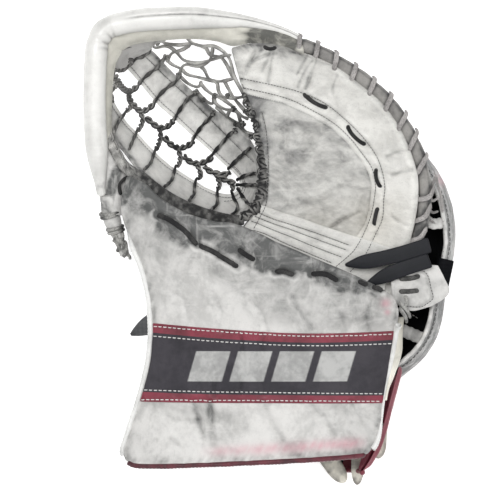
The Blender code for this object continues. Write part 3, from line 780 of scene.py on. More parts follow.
def cuff_marks(u, v, grid):
    """Grime, scuffs and the pink rub along the cuff's lower edge, with painted shade in its folds and dents
    and painted highlight on the ridges beside the lace dashes.
    """
    xy = grid[..., :2]
    x, y = xy[..., 0], xy[..., 1]
    top, run = distance_to(xy, cuff_top_edge(np.linspace(0, 1, 80)))
    share = run / run.max()
    smear = wander(x, y, 30, 3, seed=21, stretch=(0.9, 1.2), turn=-0.45)
    fine = wander(x, y, 9, 3, seed=25, stretch=(0.35, 1.7), turn=-0.5)
    reach = lerp(30.0, 29.0, smooth(share / 0.4)) - 8.0 * smooth((share - 0.45) / 0.3)
    band = smooth((reach - top + 9 * smear) / lerp(18.0, 14.0,
                                                   smooth(share / 0.4))) * smooth((1.0 - share) / 0.22)
    mottle = wander(x, y, 13, 4, seed=27, stretch=(0.5, 1.4), turn=-0.6)
    dirt_and_shade = band * (1.06 + 0.16 * fine + 0.22 * mottle) * lerp(0.52, 1.0, smooth((x + 116) / 26))
    dirt_and_shade = np.maximum(dirt_and_shade, 0.5 * bell(top, 5.0) * smooth((0.95 - share) / 0.2))
    left_thumb = bell(np.hypot(x + 104, y - 30), 42)
    dirt_and_shade = np.maximum(dirt_and_shade, 0.13 * left_thumb * (0.9 + 0.5 * smear))
    clouds = wander(x, y, 36, 4, seed=31, stretch=(1.3, 0.8), turn=-0.45)
    dirt_and_shade = dirt_and_shade + 0.30 * np.clip(clouds + 0.25, 0, 1) + 0.05 * np.clip(fine, 0, 1)
    dirt_and_shade = dirt_and_shade + 0.10 * smooth((y + 72) / 12) * (1 - smooth((top - 60) / 30))
    # painted shade: darker along the pressed folds
    for line, depth, width in CUFF_CREASES:
        d, _ = distance_to(xy, resample(line, 4.0))
        d = d + 1.2 * wander(x, y, 14, 2, seed=3)
        dirt_and_shade = dirt_and_shade + 0.26 * depth * bell(d, 1.7)
    # painted shade in the hollow of each lace dash, and a painted highlight on the ridge beside it
    for line in THUMB_DASHES:
        d, _ = distance_to(xy, resample(line, 3.0))
        dirt_and_shade = dirt_and_shade + 0.30 * bell(d, 3.2) - 0.22 * bell(d - 4.6, 1.4)
    edge = np.minimum(u, 1 - u) * 215
    dirt_and_shade = dirt_and_shade + 0.30 * bell(edge - 1.5, 3.0) * (0.6 + 0.6 * fine)
    low, _ = distance_to(xy, cuff_bottom(np.linspace(0, 1, 60)))
    dirt_and_shade = dirt_and_shade + 0.25 * bell(low - 2.0, 3.0) * (0.6 + 0.8 * fine)
    pink = bell(low - 9.5 - 1.2 * smear, 4.4) * smooth((x + 66) / 30) * smooth((88 - x) / 18)
    blush = np.clip(0.50 * pink * (1 + 0.35 * fine) * (0.75 + 0.25 * smooth(x / 40)), 0, 0.7)
    for cx, cy, r in ((99.5, -48.5, 4.0), (101.0, -56.0, 2.6)):
        blush = np.maximum(blush, 0.5 * bell(np.hypot(x - cx, y - cy), r))
    return {"dirt_and_shade": np.clip(dirt_and_shade, 0, 0.95), "blush": blush, "shade": 0 * dirt_and_shade}


nu, nv = ((200, 260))
u, v, face = cuff_grid(nu, nv)
CUFF = Seen(face)
cuff_skin = panel("cuff_skin", face, 3.0, WHITE, cuff_marks(u, v, face), lip=1.6)
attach(cuff_skin, "thumb_cuff")
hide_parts("cuff_leather")


def slab(name, point, layers, nu, nv, material, angle=50, mark=0.0):
    """A closed slab between two lifts of a surface, with softly rounded sides.
    point(u, v) gives the surface; layers are (inset share, lift) from the top rim to the bottom rim."""
    v, u = np.meshgrid(np.linspace(0, 1, nv), np.linspace(0, 1, nu), indexing="ij")

    def shrunk(inset, lift):
        grid = point(lerp(inset, 1 - inset, u), lerp(inset, 1 - inset, v))
        return grid + np.array([0, 0, lift])

    index = border_points(nv, nu)
    top = shrunk(*layers[0]).reshape(-1, 3)
    verts, faces = [top], grid_faces(nv, nu).tolist()
    previous, start = index, len(top)
    for inset, lift in layers[1:-1]:
        verts.append(shrunk(inset, lift).reshape(-1, 3)[index])
        now = start + np.arange(len(index))
        after = np.roll(now, -1)
        faces += np.stack([previous, now, after, np.roll(previous, -1)], axis=1).tolist()
        previous, start = now, start + len(index)
    verts.append(shrunk(*layers[-1]).reshape(-1, 3))
    inner = start + index
    faces += np.stack([previous, inner, np.roll(inner, -1), np.roll(previous, -1)], axis=1).tolist()
    faces += (grid_faces(nv, nu)[:, ::-1] + start).tolist()
    verts = np.vstack(verts)
    return make(name, [(verts, faces)], material,
                {"dirt_and_shade": np.full(len(verts), mark)}, angle)


def cuff_face_plain(u, v):
    plan = cuff_plan(u, v)
    z = 92 + 26 * smooth(v) - 18 * np.abs(2 * u - 1) ** 3
    return np.concatenate([plan, z[..., None]], axis=-1)


board = slab("cuff_board_edge", cuff_face_plain,
             [(0.012, -3.6), (0.003, -4.6), (0.0, -6.5), (0.003, -8.4), (0.012, -9.2)],
             60, 70, WHITE, mark=0.25)
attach(board, "thumb_cuff")
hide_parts("cuff_board")
liner = slab("cuff_lining", cuff_face_plain,
             [(0.016, -9.6), (0.004, -11.0), (0.002, -13.4), (0.006, -15.4), (0.02, -16.6)],
             60, 70, MESH)
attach(liner, "thumb_cuff")
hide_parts("cuff_liner")

# stripes sewn across the cuff, their rows of stitches, and a plain printed motif
STRIPE_EDGES = (
    [(-115.2, -133.3), (-60.2, -133.8), (-6, -134), (43, -134.4), (104.9, -134.7)],
    [(-115.2, -125.1), (-60.2, -126.7), (-6, -127.3), (43, -128), (106.6, -128.5)],
    [(-106.6, -73.4), (-51.6, -78.1), (5.2, -81.4), (37, -82.2), (72.2, -81.6), (113.5, -79.8)],
    [(-106.6, -65.7), (-51.6, -70.3), (5.2, -74), (37, -74.8), (72.2, -74.3), (113.5, -72.6)])
STRIPES = (("stripe_lower", 0, 1, BURGUNDY, "burgundy_leather"),
           ("stripe_middle", 1, 2, BLACK, "black_leather"),
           ("stripe_upper", 2, 3, BURGUNDY, "burgundy_leather"))
SEAM_ROWS = ((0, 2.2), (1, 2.5), (2, -2.4), (3, -1.6))     # edge, and how far above it


def height_at(u, edge, above=0.0):
    """The v at which each u of the panel meets a line drawn across it."""
    line = resample(edge, 4.0)
    v = np.linspace(0.1, 0.65, 320)
    plan = cuff_plan(u[None], v[:, None])
    gap = plan[..., 1] - above - np.interp(plan[..., 0], line[:, 0], line[:, 1])
    row = np.argmax(gap > 0, axis=0)
    column = np.arange(len(u))
    upper, lower = gap[row, column], gap[row - 1, column]
    return v[row] - (v[1] - v[0]) * upper / (upper - lower)


def motif(x, y):
    """Four plain slanted blocks across the black stripe, one if inside."""
    low, high, start, width, gap, slant = -116.5, -89.0, -72.0, 31.0, 5.0, 8.0
    row = (y - low) / (high - low)
    along = x - start - slant * row
    place = np.mod(along, width + gap)
    block = np.floor(along / (width + gap))
    inside_block = smooth(place - 0.3) * smooth(width - place - 0.3)
    rows = smooth((row - 0.01) / 0.03) * smooth((0.99 - row) / 0.03)
    return inside_block * rows * (block >= 0) * (block < 4)


for name, low, high, material, slot_name in STRIPES:
    columns, rows = (300, 170) if name == "stripe_middle" else (200, 20)
    u = np.linspace(0.002, 0.998, columns)
    v = lerp(height_at(u, STRIPE_EDGES[low])[None], height_at(u, STRIPE_EDGES[high])[None],
             np.linspace(0, 1, rows)[:, None])
    grid = cuff_surface(np.broadcast_to(u, v.shape), v, lift=1.0)
    x, y = grid[..., 0], grid[..., 1]
    # painted shade along the folds, with cloudy grime over it
    creases = 0.0
    for line, depth, width in CUFF_CREASES:
        d, _ = distance_to(grid[..., :2], resample(line, 4.0))
        creases = creases + 0.5 * depth * bell(d + 1.2 * wander(x, y, 14, 2, seed=3), 1.4)
    marks = {"dirt_and_shade": np.clip(creases + 0.3 * np.clip(wander(x, y, 20, 3, seed=41), 0, 1), 0, 0.9)}
    if name == "stripe_middle":
        print_share = motif(x, y)
        marks["print"] = print_share
        grid[..., 2] += 0.25 * print_share
    stripe = panel(name + "_skin", grid, 1.0, material, marks, lip=0.5)
    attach(stripe, "thumb_cuff")
    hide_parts(name)

chunks = []
u = np.linspace(0.006, 0.994, 120)
for edge, above in SEAM_ROWS:
    line = cuff_plan(u, height_at(u, STRIPE_EDGES[edge], above))
    chunks += stitches(CUFF, line, length=2.6, gap=1.5, thread=0.95, lift=1.35)
seams = make("stripe_stitches", chunks, THREAD_WHITE)
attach(seams, "thumb_cuff")

chunks = [lace_dash(CUFF, line, width=4.4, thick=2.6, lift=1.5) for line in THUMB_DASHES]
dashes = make("thumb_edge_lace", chunks, DARK_LACE)
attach(dashes, "thumb_cuff")


def edge_piping(name, edge, at_u, start, end, side, material, node, width=4.6,
                 darkening=0.0):
    """Bound piping along one edge of the panel, with the small dents of its stitches."""
    t = np.linspace(start, end, 220)
    plan = edge(t)
    ahead = np.gradient(plan, axis=0)
    out = np.stack([-ahead[:, 1], ahead[:, 0]], axis=1) * side
    out /= np.linalg.norm(out, axis=1)[:, None]
    if at_u is not None:
        z = 92 + 26 * smooth(t) - 18 * abs(2 * at_u - 1) ** 3
    else:
        z = 92 - 18 * np.abs(2 * t - 1) ** 3
    run = np.arange(len(t))
    size = 1 + 0.05 * np.sin(run * 1.9) + 0.05 * wander(plan[:, 0], plan[:, 1], 9, 2, seed=51)
    worn = smooth((plan[:, 1] + 2) / 20) if at_u == 0 else 0 * run
    size = size * (1 - 0.70 * worn)
    if at_u == 1:
        size = size * np.interp(t, [0, 0.06, 0.13, 0.25, 0.45, 0.6], [1.0, 0.85, 0.42, 0.5, 0.85, 1.15])
    plan = plan + out * 2.2 * size[:, None]
    line = np.column_stack([plan, z - 0.8])
    chunk = sweep(line, width, width * 1.15, sides=14, scale=size)
    dirt_and_shade = 0.18 + 0.25 * np.clip(wander(np.repeat(plan[:, 0], 14), np.repeat(plan[:, 1], 14),
                                        16, 3, seed=52), 0, 1)
    dirt_and_shade = dirt_and_shade + darkening + 0.55 * np.repeat(worn, 14)
    obj = make(name, [chunk], material, {"dirt_and_shade": np.clip(dirt_and_shade, 0, 1)})
    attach(obj, "thumb_cuff")
    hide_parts(node)
    return obj


edge_piping("piping_left_skin", cuff_left, 0, 0.02, 0.84, 1, PIPING, "piping_left")
edge_piping("piping_right_skin", cuff_right, 1, 0.02, 0.60, -1, PIPING, "piping_right",
            5.2)
edge_piping("piping_bottom_skin", cuff_bottom, None, 0.01, 0.99, -1, BURGUNDY, "piping_bottom",
            4.4, 0.45)

# ---------------------------------------------------------------- palm

palm_left = curve([(-25, 13.5), (-15.5, 26), (-7, 40), (-3.5, 58), (-4, 75), (-9, 96), (-15.5, 116),
                   (-22, 135), (-27.5, 154), (-32, 171)])
palm_right = curve([(111, -50), (116.5, -14), (120.5, 6), (124.2, 23), (126.5, 42), (126, 61),
                    (120.5, 80.5), (111.8, 100), (101.3, 116.5), (88.3, 130), (72.5, 142.5), (58, 153.5),
                    (41, 161.5), (22, 168.5)])
palm_bottom = curve([(-25, 13.5), (-8, 5), (15, -6), (50, -23), (85, -38), (111, -50)])
palm_top_edge = curve([(-32, 171), (-19, 174), (-8, 175), (7, 173.7), (22, 168.5)])
palm_plan = between(palm_left, palm_right, palm_bottom, palm_top_edge)

D_OUTER = [(-32.7, 147.1), (-25.8, 145.3), (6, 138.5), (28.4, 132.4), (48.2, 123), (66.2, 108.4),
           (79.1, 95.5), (91.2, 79.1), (96.3, 66.2), (98.9, 51.6), (98, 41.3), (96.8, 24.5), (91.4, 12),
           (85.1, -0.9), (81.7, -6.9), (71.8, -18.5), (67.9, -22.4)]
D_INNER = [(-32.7, 139.3), (-25.8, 137.6), (13.8, 128.1), (36.1, 117.8), (55.9, 105.8), (68.8, 93.7),
           (79.1, 80.8), (87.7, 67.9), (90.7, 54.2), (90.7, 48.2), (88.6, 34.4), (86, 24.1), (80, 10),
           (73.4, -1.5), (68.5, -6.9), (56.4, -17.2)]
D_EDGE = [(-25.8, 133.3), (12, 124.7), (34.4, 114.4), (53.3, 103.2), (66.2, 91.2), (76.5, 78.3),
          (85.1, 65.4), (87.7, 54.2), (87.7, 48.2), (86, 31.8), (82.6, 19.8), (75.7, 9.5), (65.4, -2.6)]
PALM_DASHES = [
    [(28.4, 132.4), (35.3, 126.4), (43, 122.1), (49.9, 119.5)],
    [(66.2, 104.9), (70.5, 98), (76.5, 92), (82.6, 87.7)],
    [(91.2, 67.9), (92, 59.3), (95.5, 50.7)],
    [(92.9, 34.4), (91.2, 26.7), (89.4, 18.1)],
    [(-6, 172.7), (-0.9, 171.1), (6, 171.8)],
    [(85.1, -3.4), (88.6, -2.6)],
]
D_REGION = D_EDGE + [(51.6, -24.1), (25.8, -37), (-25.8, -11.2), (-47.3, 57.6), (-38.7, 122.1)]
BREAK_SEAMS = [
    [(-11.2, 30.1), (-5.6, 27.5), (4.3, 23.6), (17.2, 19.5), (43, 10.8), (69.7, 1.1)],
    [(-13.3, 26.7), (-6.9, 23.9), (4.3, 19.5), (17.2, 15.2), (43, 5.6), (67.1, -3)],
    [(-16.3, 22.4), (-9.5, 19.8), (1.7, 15), (17.2, 9), (38.7, 0), (61.9, -8.9)],
    [(-14.6, 14.6), (-5.2, 11.6), (8.6, 5.2), (17.2, 1.3), (34.4, -6), (54.2, -14.2)],
]
PALM_SIDE_SEAM = [(-6.9, 116.1), (-3.4, 100.6), (-1.7, 79.1), (-1.7, 57.6), (-3.4, 37), (-9.5, 24.1),
                  (-14.6, 14.6)]
PUCKERS = [[(-23.2, 145.3), (-19.8, 155.7), (-12.9, 169.4)],
           [(-20.6, 148.8), (-15.5, 160.8), (-6.9, 170.3)],
           [(-0.9, 143.6), (0.9, 159.1), (3.4, 171.1)], [(-6.9, 151.4), (-1.7, 162.5), (0.9, 169.4)],
           [(24.1, 138.5), (29.2, 150.5), (37, 160.8)], [(31, 136.7), (35.3, 148.8), (40.4, 160.8)],
           [(54.2, 133.3), (55, 140.2), (57.6, 147.1)], [(23.2, 148.8), (30.1, 160.8), (33.5, 167.7)],
           [(100.6, 78.3), (108.4, 81.7), (118.7, 83.4)], [(104.9, 61.9), (113.5, 64.5), (122.1, 66.2)],
           [(-15.5, 159.1), (-6.9, 164.3), (5.2, 167.7)], [(104.9, 27.5), (111.8, 21.5), (118.7, 18.1)],
           [(51.6, 16.3), (64.5, 24.9), (77.4, 30.1)]]


def palm_surface(u, v, lift=0.0, detail=True):
    plan = palm_plan(u, v)
    x, y = plan[..., 0], plan[..., 1]
    z = (lerp(70 + 18 * smooth(v), 68 + 30 * smooth(v / 0.45), u)
         - 16 * np.sin(np.pi * np.clip(u, 0, 1)) * np.sin(np.pi * np.clip(v, 0, 1)) ** 0.7)
    if detail:
        for line in (D_OUTER, D_INNER):
            d, _ = distance_to(plan, resample(line, 4.0))
            z = z - 0.9 * bell(d, 1.8)
        d, _ = distance_to(plan, resample(D_EDGE, 4.0))
        z = z - 0.8 * bell(d, 1.3)
        within = inside(plan, D_REGION)
        z = z - 0.7 * within
        d, _ = distance_to(plan, resample(PALM_SIDE_SEAM, 4.0))
        z = z - 0.9 * bell(d, 1.6)
        for line in PUCKERS:
            d, _ = distance_to(plan, resample(line, 4.0))
            d = d + 0.8 * wander(x, y, 8, 2, seed=61)
            z = z - 0.9 * bell(d, 1.9) + 0.35 * bell(d - 3.6, 2.6)
        for line in PALM_DASHES:
            d, _ = distance_to(plan, resample(line, 3.0))
            z = z - 1.3 * bell(d, 2.6) + 0.5 * bell(d - 5.0, 2.2)
        z = z + 0.8 * wander(x, y, 40, 3, seed=63)
        z = z + 0.25 * wander(x, y, 9, 2, seed=64, stretch=(0.7, 1.4), turn=0.5)
        rim_gap, _ = distance_to(plan, palm_right(np.linspace(0.1, 1, 90)))
        z = z - 1.8 * bell(rim_gap, 2.6) + 0.5 * bell(rim_gap - 6, 4)
    return np.concatenate([plan, (z + lift)[..., None]], axis=-1)


def palm_marks(u, v, grid):
    xy = grid[..., :2]
    x, y = xy[..., 0], xy[..., 1]
    within = inside(xy, D_REGION).astype(float)
    cloud = wander(x, y, 22, 4, seed=71, stretch=(0.6, 1.5), turn=0.7)
    fine = wander(x, y, 6, 3, seed=73, stretch=(0.6, 1.6), turn=0.8)
    # the inner panel is darkest towards the pocket's upper corner
    corner = smooth((70 - np.hypot(x + 8, (y - 112) * 0.9)) / 75)
    dirt_and_shade = within * (0.43 + 0.32 * corner + 0.22 * np.clip(cloud, -0.4, 1) * (0.5 + corner)
                     + 0.10 * np.clip(fine, -0.5, 1))
    for cx, cy, r, amount in ((28, 126, 7, 0.30), (-12, 133, 6, 0.32), (57, 111, 7, 0.22),
                              (63, 92, 7, 0.15), (-4, 116, 8, 0.22)):
        near = bell(np.hypot(x - cx, (y - cy) * 1.4) + 5 * fine, r)
        dirt_and_shade = dirt_and_shade + within * amount * near
    outer = (1 - within) * (0.03 + 0.15 * np.clip(cloud + 0.1, 0,
                                                  1) + 0.14 * bell(np.hypot(x - 10, y - 158), 34))
    dirt_and_shade = dirt_and_shade + outer
    top, _ = distance_to(xy, resample([(-22.4, 179.7), (-10.3, 179.7), (4.3, 180.6), (18.9, 178),
                                       (25.8, 172.9)], 3.0))
    dirt_and_shade = dirt_and_shade + 0.75 * bell(top + 2.2 * fine, 6.0) * smooth((y - 170) / -4 + 1.6)
    top, _ = distance_to(xy, resample([(-31, 174.6), (-6.9, 178), (23.2, 169.4)], 3.0))
    dirt_and_shade = dirt_and_shade + 0.35 * bell(top + 3 * fine, 7.0)
    # painted shade in the puckers
    for line in PUCKERS:
        d, _ = distance_to(xy, resample(line, 4.0))
        dirt_and_shade = dirt_and_shade + 0.34 * bell(d + 0.8 * wander(x, y, 8, 2, seed=61), 1.3)
    for line in (D_OUTER, D_INNER, D_EDGE, PALM_SIDE_SEAM):
        d, _ = distance_to(xy, resample(line, 4.0))
        dirt_and_shade = dirt_and_shade + 0.16 * bell(d, 1.4)
    d, _ = distance_to(xy, resample(D_INNER, 4.0))
    dirt_and_shade = dirt_and_shade * (1 - 0.6 * bell(d + 2.5, 2.0))
    side, _ = distance_to(xy, palm_left(np.linspace(0, 1, 60)))
    dirt_and_shade = dirt_and_shade + 0.35 * bell(side, 3.0) * (0.7 + 0.6 * fine)
    # painted shade in the groove beside the perimeter roll
    rim_gap, _ = distance_to(xy, palm_right(np.linspace(0.1, 1, 90)))
    dirt_and_shade = dirt_and_shade + 0.22 * bell(rim_gap, 2.0)
    stain = bell(np.hypot(x - 88, y - 20), 26) + 0.6 * bell(np.hypot(x - 40, y - 18), 20)
    return {"dirt_and_shade": np.clip(dirt_and_shade, 0, 0.95), "stain": 0.5 * stain, "blush": 0 * dirt_and_shade}


nu, nv = ((230, 250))
v, u = np.meshgrid(np.linspace(0, 1, nv), np.linspace(0, 1, nu), indexing="ij")
face = palm_surface(u, v)
PALM_SEEN = Seen(face)
palm_skin = panel("palm_skin", face, 2.9, PALM, palm_marks(u, v, face), lip=1.4)
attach(palm_skin, "palm_hand")
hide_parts("palm_panel")

core = slab("palm_foam_core", lambda u, v: palm_surface(u, v, detail=False),
            [(0.012, -3.4), (0.003, -4.6), (0.0, -7.5), (0.003, -10.4), (0.012, -11.8)],
            60, 60, WHITE, mark=0.25)
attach(core, "palm_hand")
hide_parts("palm_foam")

# the break: a folded binding over the palm's heel, held by rows of stitches
rows, columns = 44, 150
v, u = np.meshgrid(np.linspace(0.004, 0.165, rows), np.linspace(0.004, 0.90, columns), indexing="ij")
band = palm_surface(u, v, 3.4, detail=False)
x, y = band[..., 0], band[..., 1]
groove = 0.0
dirt_and_shade = 0.17 + 0.14 * np.clip(wander(x, y, 16, 3, seed=81), -0.3, 1)
for line in BREAK_SEAMS:
    d, _ = distance_to(band[..., :2], resample(line, 4.0))
    groove = groove + 0.8 * bell(d, 1.5)
    dirt_and_shade = dirt_and_shade + 0.16 * bell(d, 1.2)
band[..., 2] += 0.5 * wander(x, y, 20, 2, seed=82) - groove
low, _ = distance_to(band[..., :2], band[0, :, :2])
dirt_and_shade = dirt_and_shade + 0.5 * bell(low, 3.5)
break_skin = panel("break_binding_skin", band, 1.9, PALM, {"dirt_and_shade": np.clip(dirt_and_shade, 0, 0.9)}, lip=0.9)
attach(break_skin, "palm_hand")
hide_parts("break_binding")

BOTH_SEEN = Seen(face, band)
chunks = []
for line in (D_OUTER, D_INNER):
    chunks += stitches(BOTH_SEEN, line, length=1.9, gap=0.7, thread=0.62, lift=0.15)
chunks += stitches(BOTH_SEEN, PALM_SIDE_SEAM, length=2.3, gap=0.35, thread=0.55, lift=0.12)
for line in BREAK_SEAMS:
    chunks += stitches(BOTH_SEEN, line, length=2.4, gap=0.3, thread=0.62, lift=0.15)
threads = make("palm_stitches", chunks, THREAD_DARK)
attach(threads, "palm_hand")

chunks = [lace_dash(PALM_SEEN, line, width=3.9, thick=2.4, lift=1.0) for line in PALM_DASHES]
dashes = make("palm_lace_dashes", chunks, DARK_LACE)
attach(dashes, "palm_hand")

# perimeter: a flattened leather roll round the fingers, whipped to the palm by one flat lace
PERIMETER = [(23, 176, 92), (41, 169, 92), (58.5, 159, 92), (74, 149, 92), (90, 136, 92),
             (105, 121, 92), (115, 106, 92), (125, 87, 91), (131, 68, 89), (134, 49, 86),
             (133, 32, 82), (130, 15, 76), (125, 2, 71)]
line = resample(PERIMETER, 0.9)
run = travelled(line)
WRAPS = [([(26.7, 186.6), (24.1, 166.8)]), ([(42.1, 178.9), (38.7, 160)]), ([(58.5, 171.1), (55, 150.5)]),
         ([(75.7, 160.8), (68.8, 139.3)]), ([(92, 148.8), (83.4, 126.4)]), ([(106.6, 135), (97.2, 112.7)]),
         ([(118.7, 117.8), (108.4, 96.3)]), ([(128.1, 102.3), (117.8, 78.3)]),
         ([(135.9, 80.8), (124.7, 58.5)]),
         ([(141, 51.6), (136.7, 43), (124.7, 40.4)]), ([(138.5, 36.1), (133.3, 25.8), (123, 21.5)]),
         ([(135, 16.3), (129, 7.7), (117, 4.3)])]
pinch = np.ones(len(line))
for wrap in WRAPS:
    middle = np.mean(np.array(wrap, float)[[0, -1]], axis=0)
    d = np.hypot(*(line[:, :2] - middle).T)
    pinch = pinch - 0.10 * bell(d, 3.6)
swell = pinch + 0.03 * wander(line[:, 0], line[:, 1], 16, 2, seed=91)
ends = np.minimum(run, run[-1] - run)
swell = swell * (0.72 + 0.28 * smooth(ends / 7.0))
sides = 22
verts, faces = sweep(line, 12.2, 11.0, sides=sides, scale=swell)
verts = verts.reshape(len(line), sides, 3)
a = np.linspace(0, 2 * np.pi, sides, endpoint=False)
ripple = wander(run[:, None] + 0 * a, 9 * a[None, :] + 0 * run[:, None], 7, 3, seed=92,
                stretch=(1.0, 1.6))
verts += 0.30 * ripple[..., None] * (verts - line[:, None]) / 6
x, y = verts[..., 0], verts[..., 1]
dirt_and_shade = 0.22 + 0.5 * np.clip(wander(x, y, 17, 3, seed=93) + 0.05, 0, 1)
upper_left = smooth((70 - x) / 60)
dirt_and_shade = dirt_and_shade + 0.45 * upper_left * np.clip(wander(x, y, 11, 3, seed=95) + 0.25, 0, 1)
seam = np.abs(a - 2.35)[None, :] + 0 * run[:, None]
dirt_and_shade = dirt_and_shade + 0.5 * bell(seam, 0.16)
# painted shade along both sides of each lace wrap
for wrap in WRAPS:
    d, _ = distance_to(verts[..., :2], np.array(wrap, float))
    dirt_and_shade = dirt_and_shade + 0.45 * bell(d - 2.6, 1.5)
roll = make("perimeter_binding", [(verts.reshape(-1, 3), faces)], BINDING,
            {"dirt_and_shade": np.clip(dirt_and_shade, 0, 0.92)})
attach(roll, "palm_hand")
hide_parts("perimeter_roll")

PERIMETER_CENTRE = line


def wrap_over(centre, plan, radius_wide, radius_tall, width, thick, under=True):
    """A flat lace over a roll: from its inner side over the top to its outer side and under."""
    p = resample(plan, 1.0)
    points, ups = [], []
    for x, y in p:
        d = np.hypot(centre[:, 0] - x, centre[:, 1] - y)
        i = int(np.argmin(d))
        ahead = centre[min(i + 1, len(centre) - 1)] - centre[max(i - 1, 0)]
        ahead = ahead / np.linalg.norm(ahead)
        side = np.cross(ahead, (0, 0, 1.0))
        side /= np.linalg.norm(side)
        off = float(np.clip(((x - centre[i, 0]) * side[0] + (y - centre[i, 1]) * side[1])
                            / radius_wide, -1.0, 1.0))
        height = math.sqrt(max(0.0, 1 - off * off))
        normal = side * off / radius_wide + np.array([0, 0, 1.0]) * height / radius_tall
        normal /= np.linalg.norm(normal)
        points.append(centre[i] + side * off * radius_wide + np.array([0, 0, height * radius_tall])
                      + normal * thick * 0.35)
        ups.append(normal)
    points, ups = np.array(points), np.array(ups)
    if under:
        first = points[0] + np.array([0, 0, -5.5]) - 0.5 * ups[0]
        last = points[-1] + np.array([0, 0, -5.0]) + 1.2 * (points[-1] - points[-2])
        points = np.vstack([[first], points, [last]])
        ups = np.vstack([[ups[0]], ups, [ups[-1]]])
    smoothed = points.copy()
    smoothed[1:-1] = (points[:-2] + 2 * points[1:-1] + points[2:]) / 4
    return sweep(smoothed, width, thick, up=ups, sides=10)


chunks, dirt_and_shade = [], []
for wrap in WRAPS:
    chunk = wrap_over(PERIMETER_CENTRE, wrap, 6.9, 6.4, 4.3, 2.2)
    chunks.append(chunk)
    dirt_and_shade.append(0.14 + 0.25 * np.clip(wander(chunk[0][:, 0], chunk[0][:, 1], 7, 2, seed=97), 0, 1))
whip = make("perimeter_whipping", chunks, GREY_LACE, {"dirt_and_shade": np.concatenate(dirt_and_shade)})
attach(whip, "palm_hand")
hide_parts("perimeter_lace")

# ---------------------------------------------------------------- placement of the soft pieces


def blend_to_thumb(obj, start=-12.0, end=-55.0):
    """The piece's placement written into its mesh."""
    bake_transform(obj)


def blend_to_palm(obj):
    """The piece's placement written into its mesh."""
    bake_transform(obj)


# ---------------------------------------------------------------- pocket surface

pocket_thumb_edge = knotted(
    (0, (-130, 170)), (0.06, (-136, 158)), (0.12, (-137, 130)), (0.2, (-137, 98)), (0.26, (-133, 85)),
    (0.35, (-119, 71)), (0.45, (-106, 61)), (0.58, (-89, 46)), (0.7, (-70, 34)), (0.82, (-49, 25)),
    (0.9, (-36, 22.5)), (1, (-23, 23)))
pocket_palm_edge = knotted(
    (0, (-130, 170)), (0.06, (-118, 176)), (0.2, (-90, 180)), (0.28, (-66, 179)), (0.35, (-46, 174)),
    (0.4, (-36, 162)), (0.45, (-30, 145)), (0.58, (-20, 115)), (0.7, (-13, 94)), (0.82, (-8, 73)),
    (0.9, (-8.5, 54)), (1, (-18, 31)))


def pocket_surface(u, v):
    u, v = np.broadcast_arrays(u, v)
    shape = u.shape
    a = pocket_thumb_edge(u.ravel()).reshape(shape + (2,))
    b = pocket_palm_edge(u.ravel()).reshape(shape + (2,))
    thumb = 88 + 5 * smooth(u / 0.4) - 20 * smooth((u - 0.7) / 0.3)
    palm = 88 - 22 * smooth((u - 0.3) / 0.7)
    z = (lerp(thumb, palm, v) - 86.3 * np.sin(np.pi * np.clip(u, 0, 1)) ** 0.55
         * np.sin(np.pi * np.clip(v, 0, 1)) ** 0.6)
    return np.concatenate([lerp(a, b, v[..., None]), z[..., None]], axis=-1)


v, u = np.meshgrid(np.linspace(0.0005, 0.9995, 90), np.linspace(0.0005, 0.9995, 110), indexing="ij")
POCKET = Seen(pocket_surface(u, v))

# ---------------------------------------------------------------- T leather

T_OUTLINE = [(-130.7, 169.4), (-116.1, 172), (-101.5, 166.8), (-89.4, 154.8), (-75.7, 141),
             (-61.9, 129), (-48.2, 117), (-38.7, 110.9), (-30.1, 104.1), (-21.5, 95.5), (-15.5, 86),
             (-12, 78.3), (-10.3, 70.5), (-9, 61.9), (-9.5, 53.3), (-11.2, 44.7), (-14.6, 37.8),
             (-18.9, 32.7), (-23.2, 28.4), (-27.5, 24.9), (-32.7, 24.1), (-42.1, 26.7), (-51.6, 30.1),
             (-61.9, 33.5), (-72.2, 37.8), (-83.4, 43), (-93.7, 49), (-101.5, 55), (-108.4, 61.9),
             (-116.1, 71.4), (-123, 80.8), (-129, 87.7), (-135, 94.6), (-139.3, 101.5), (-141.9, 107.5),
             (-143.6, 116.1), (-144.5, 122.1), (-144.5, 129.9), (-143.6, 136.7), (-141.9, 147.1),
             (-139.3, 153.9), (-137.6, 160), (-135.9, 164.3)]
T_WINDOW = [(-128.1, 155.7), (-125.6, 155.7), (-122.1, 153.1), (-111.8, 141), (-96.3, 123),
            (-81.7, 110.1), (-67.1, 96.3), (-52.5, 83.4), (-37.8, 69.7), (-32.7, 65.4), (-29.2, 61.9),
            (-26.7, 58.5), (-25.8, 54.2), (-26.2, 50.7), (-28.4, 48.2), (-31.8, 46), (-36.1, 45.1),
            (-41.3, 45.6), (-46.4, 47.3), (-55.9, 51.6), (-64.5, 56.8), (-71.4, 61.1), (-78.3, 65.4),
            (-83.4, 68.4), (-87.7, 71.4), (-95.5, 78.3), (-103.2, 86), (-110.9, 94.6), (-117.8, 101.9),
            (-122.1, 106.2), (-125.6, 110.9), (-131.6, 119.5), (-137.2, 129), (-139.3, 134.2),
            (-140.2, 139.3), (-139.8, 144.5), (-137.6, 148.8), (-134.2, 153.1)]


def loop_points(outline, n, start):
    """n points round a closed outline, evenly spaced, from the place nearest to start."""
    at = curve(np.array(outline, float), closed=True)
    dense = at(np.linspace(0, 1, 1201))[:-1]
    first = int(np.argmin(np.hypot(*(dense - np.array(start)).T)))
    dense = np.roll(dense, -first, axis=0)
    ring = np.vstack([dense, dense[:1]])
    run = travelled(ring)
    want = np.linspace(0, run[-1], n, endpoint=False)
    return np.stack([np.interp(want, run, ring[:, c]) for c in range(2)], axis=1)


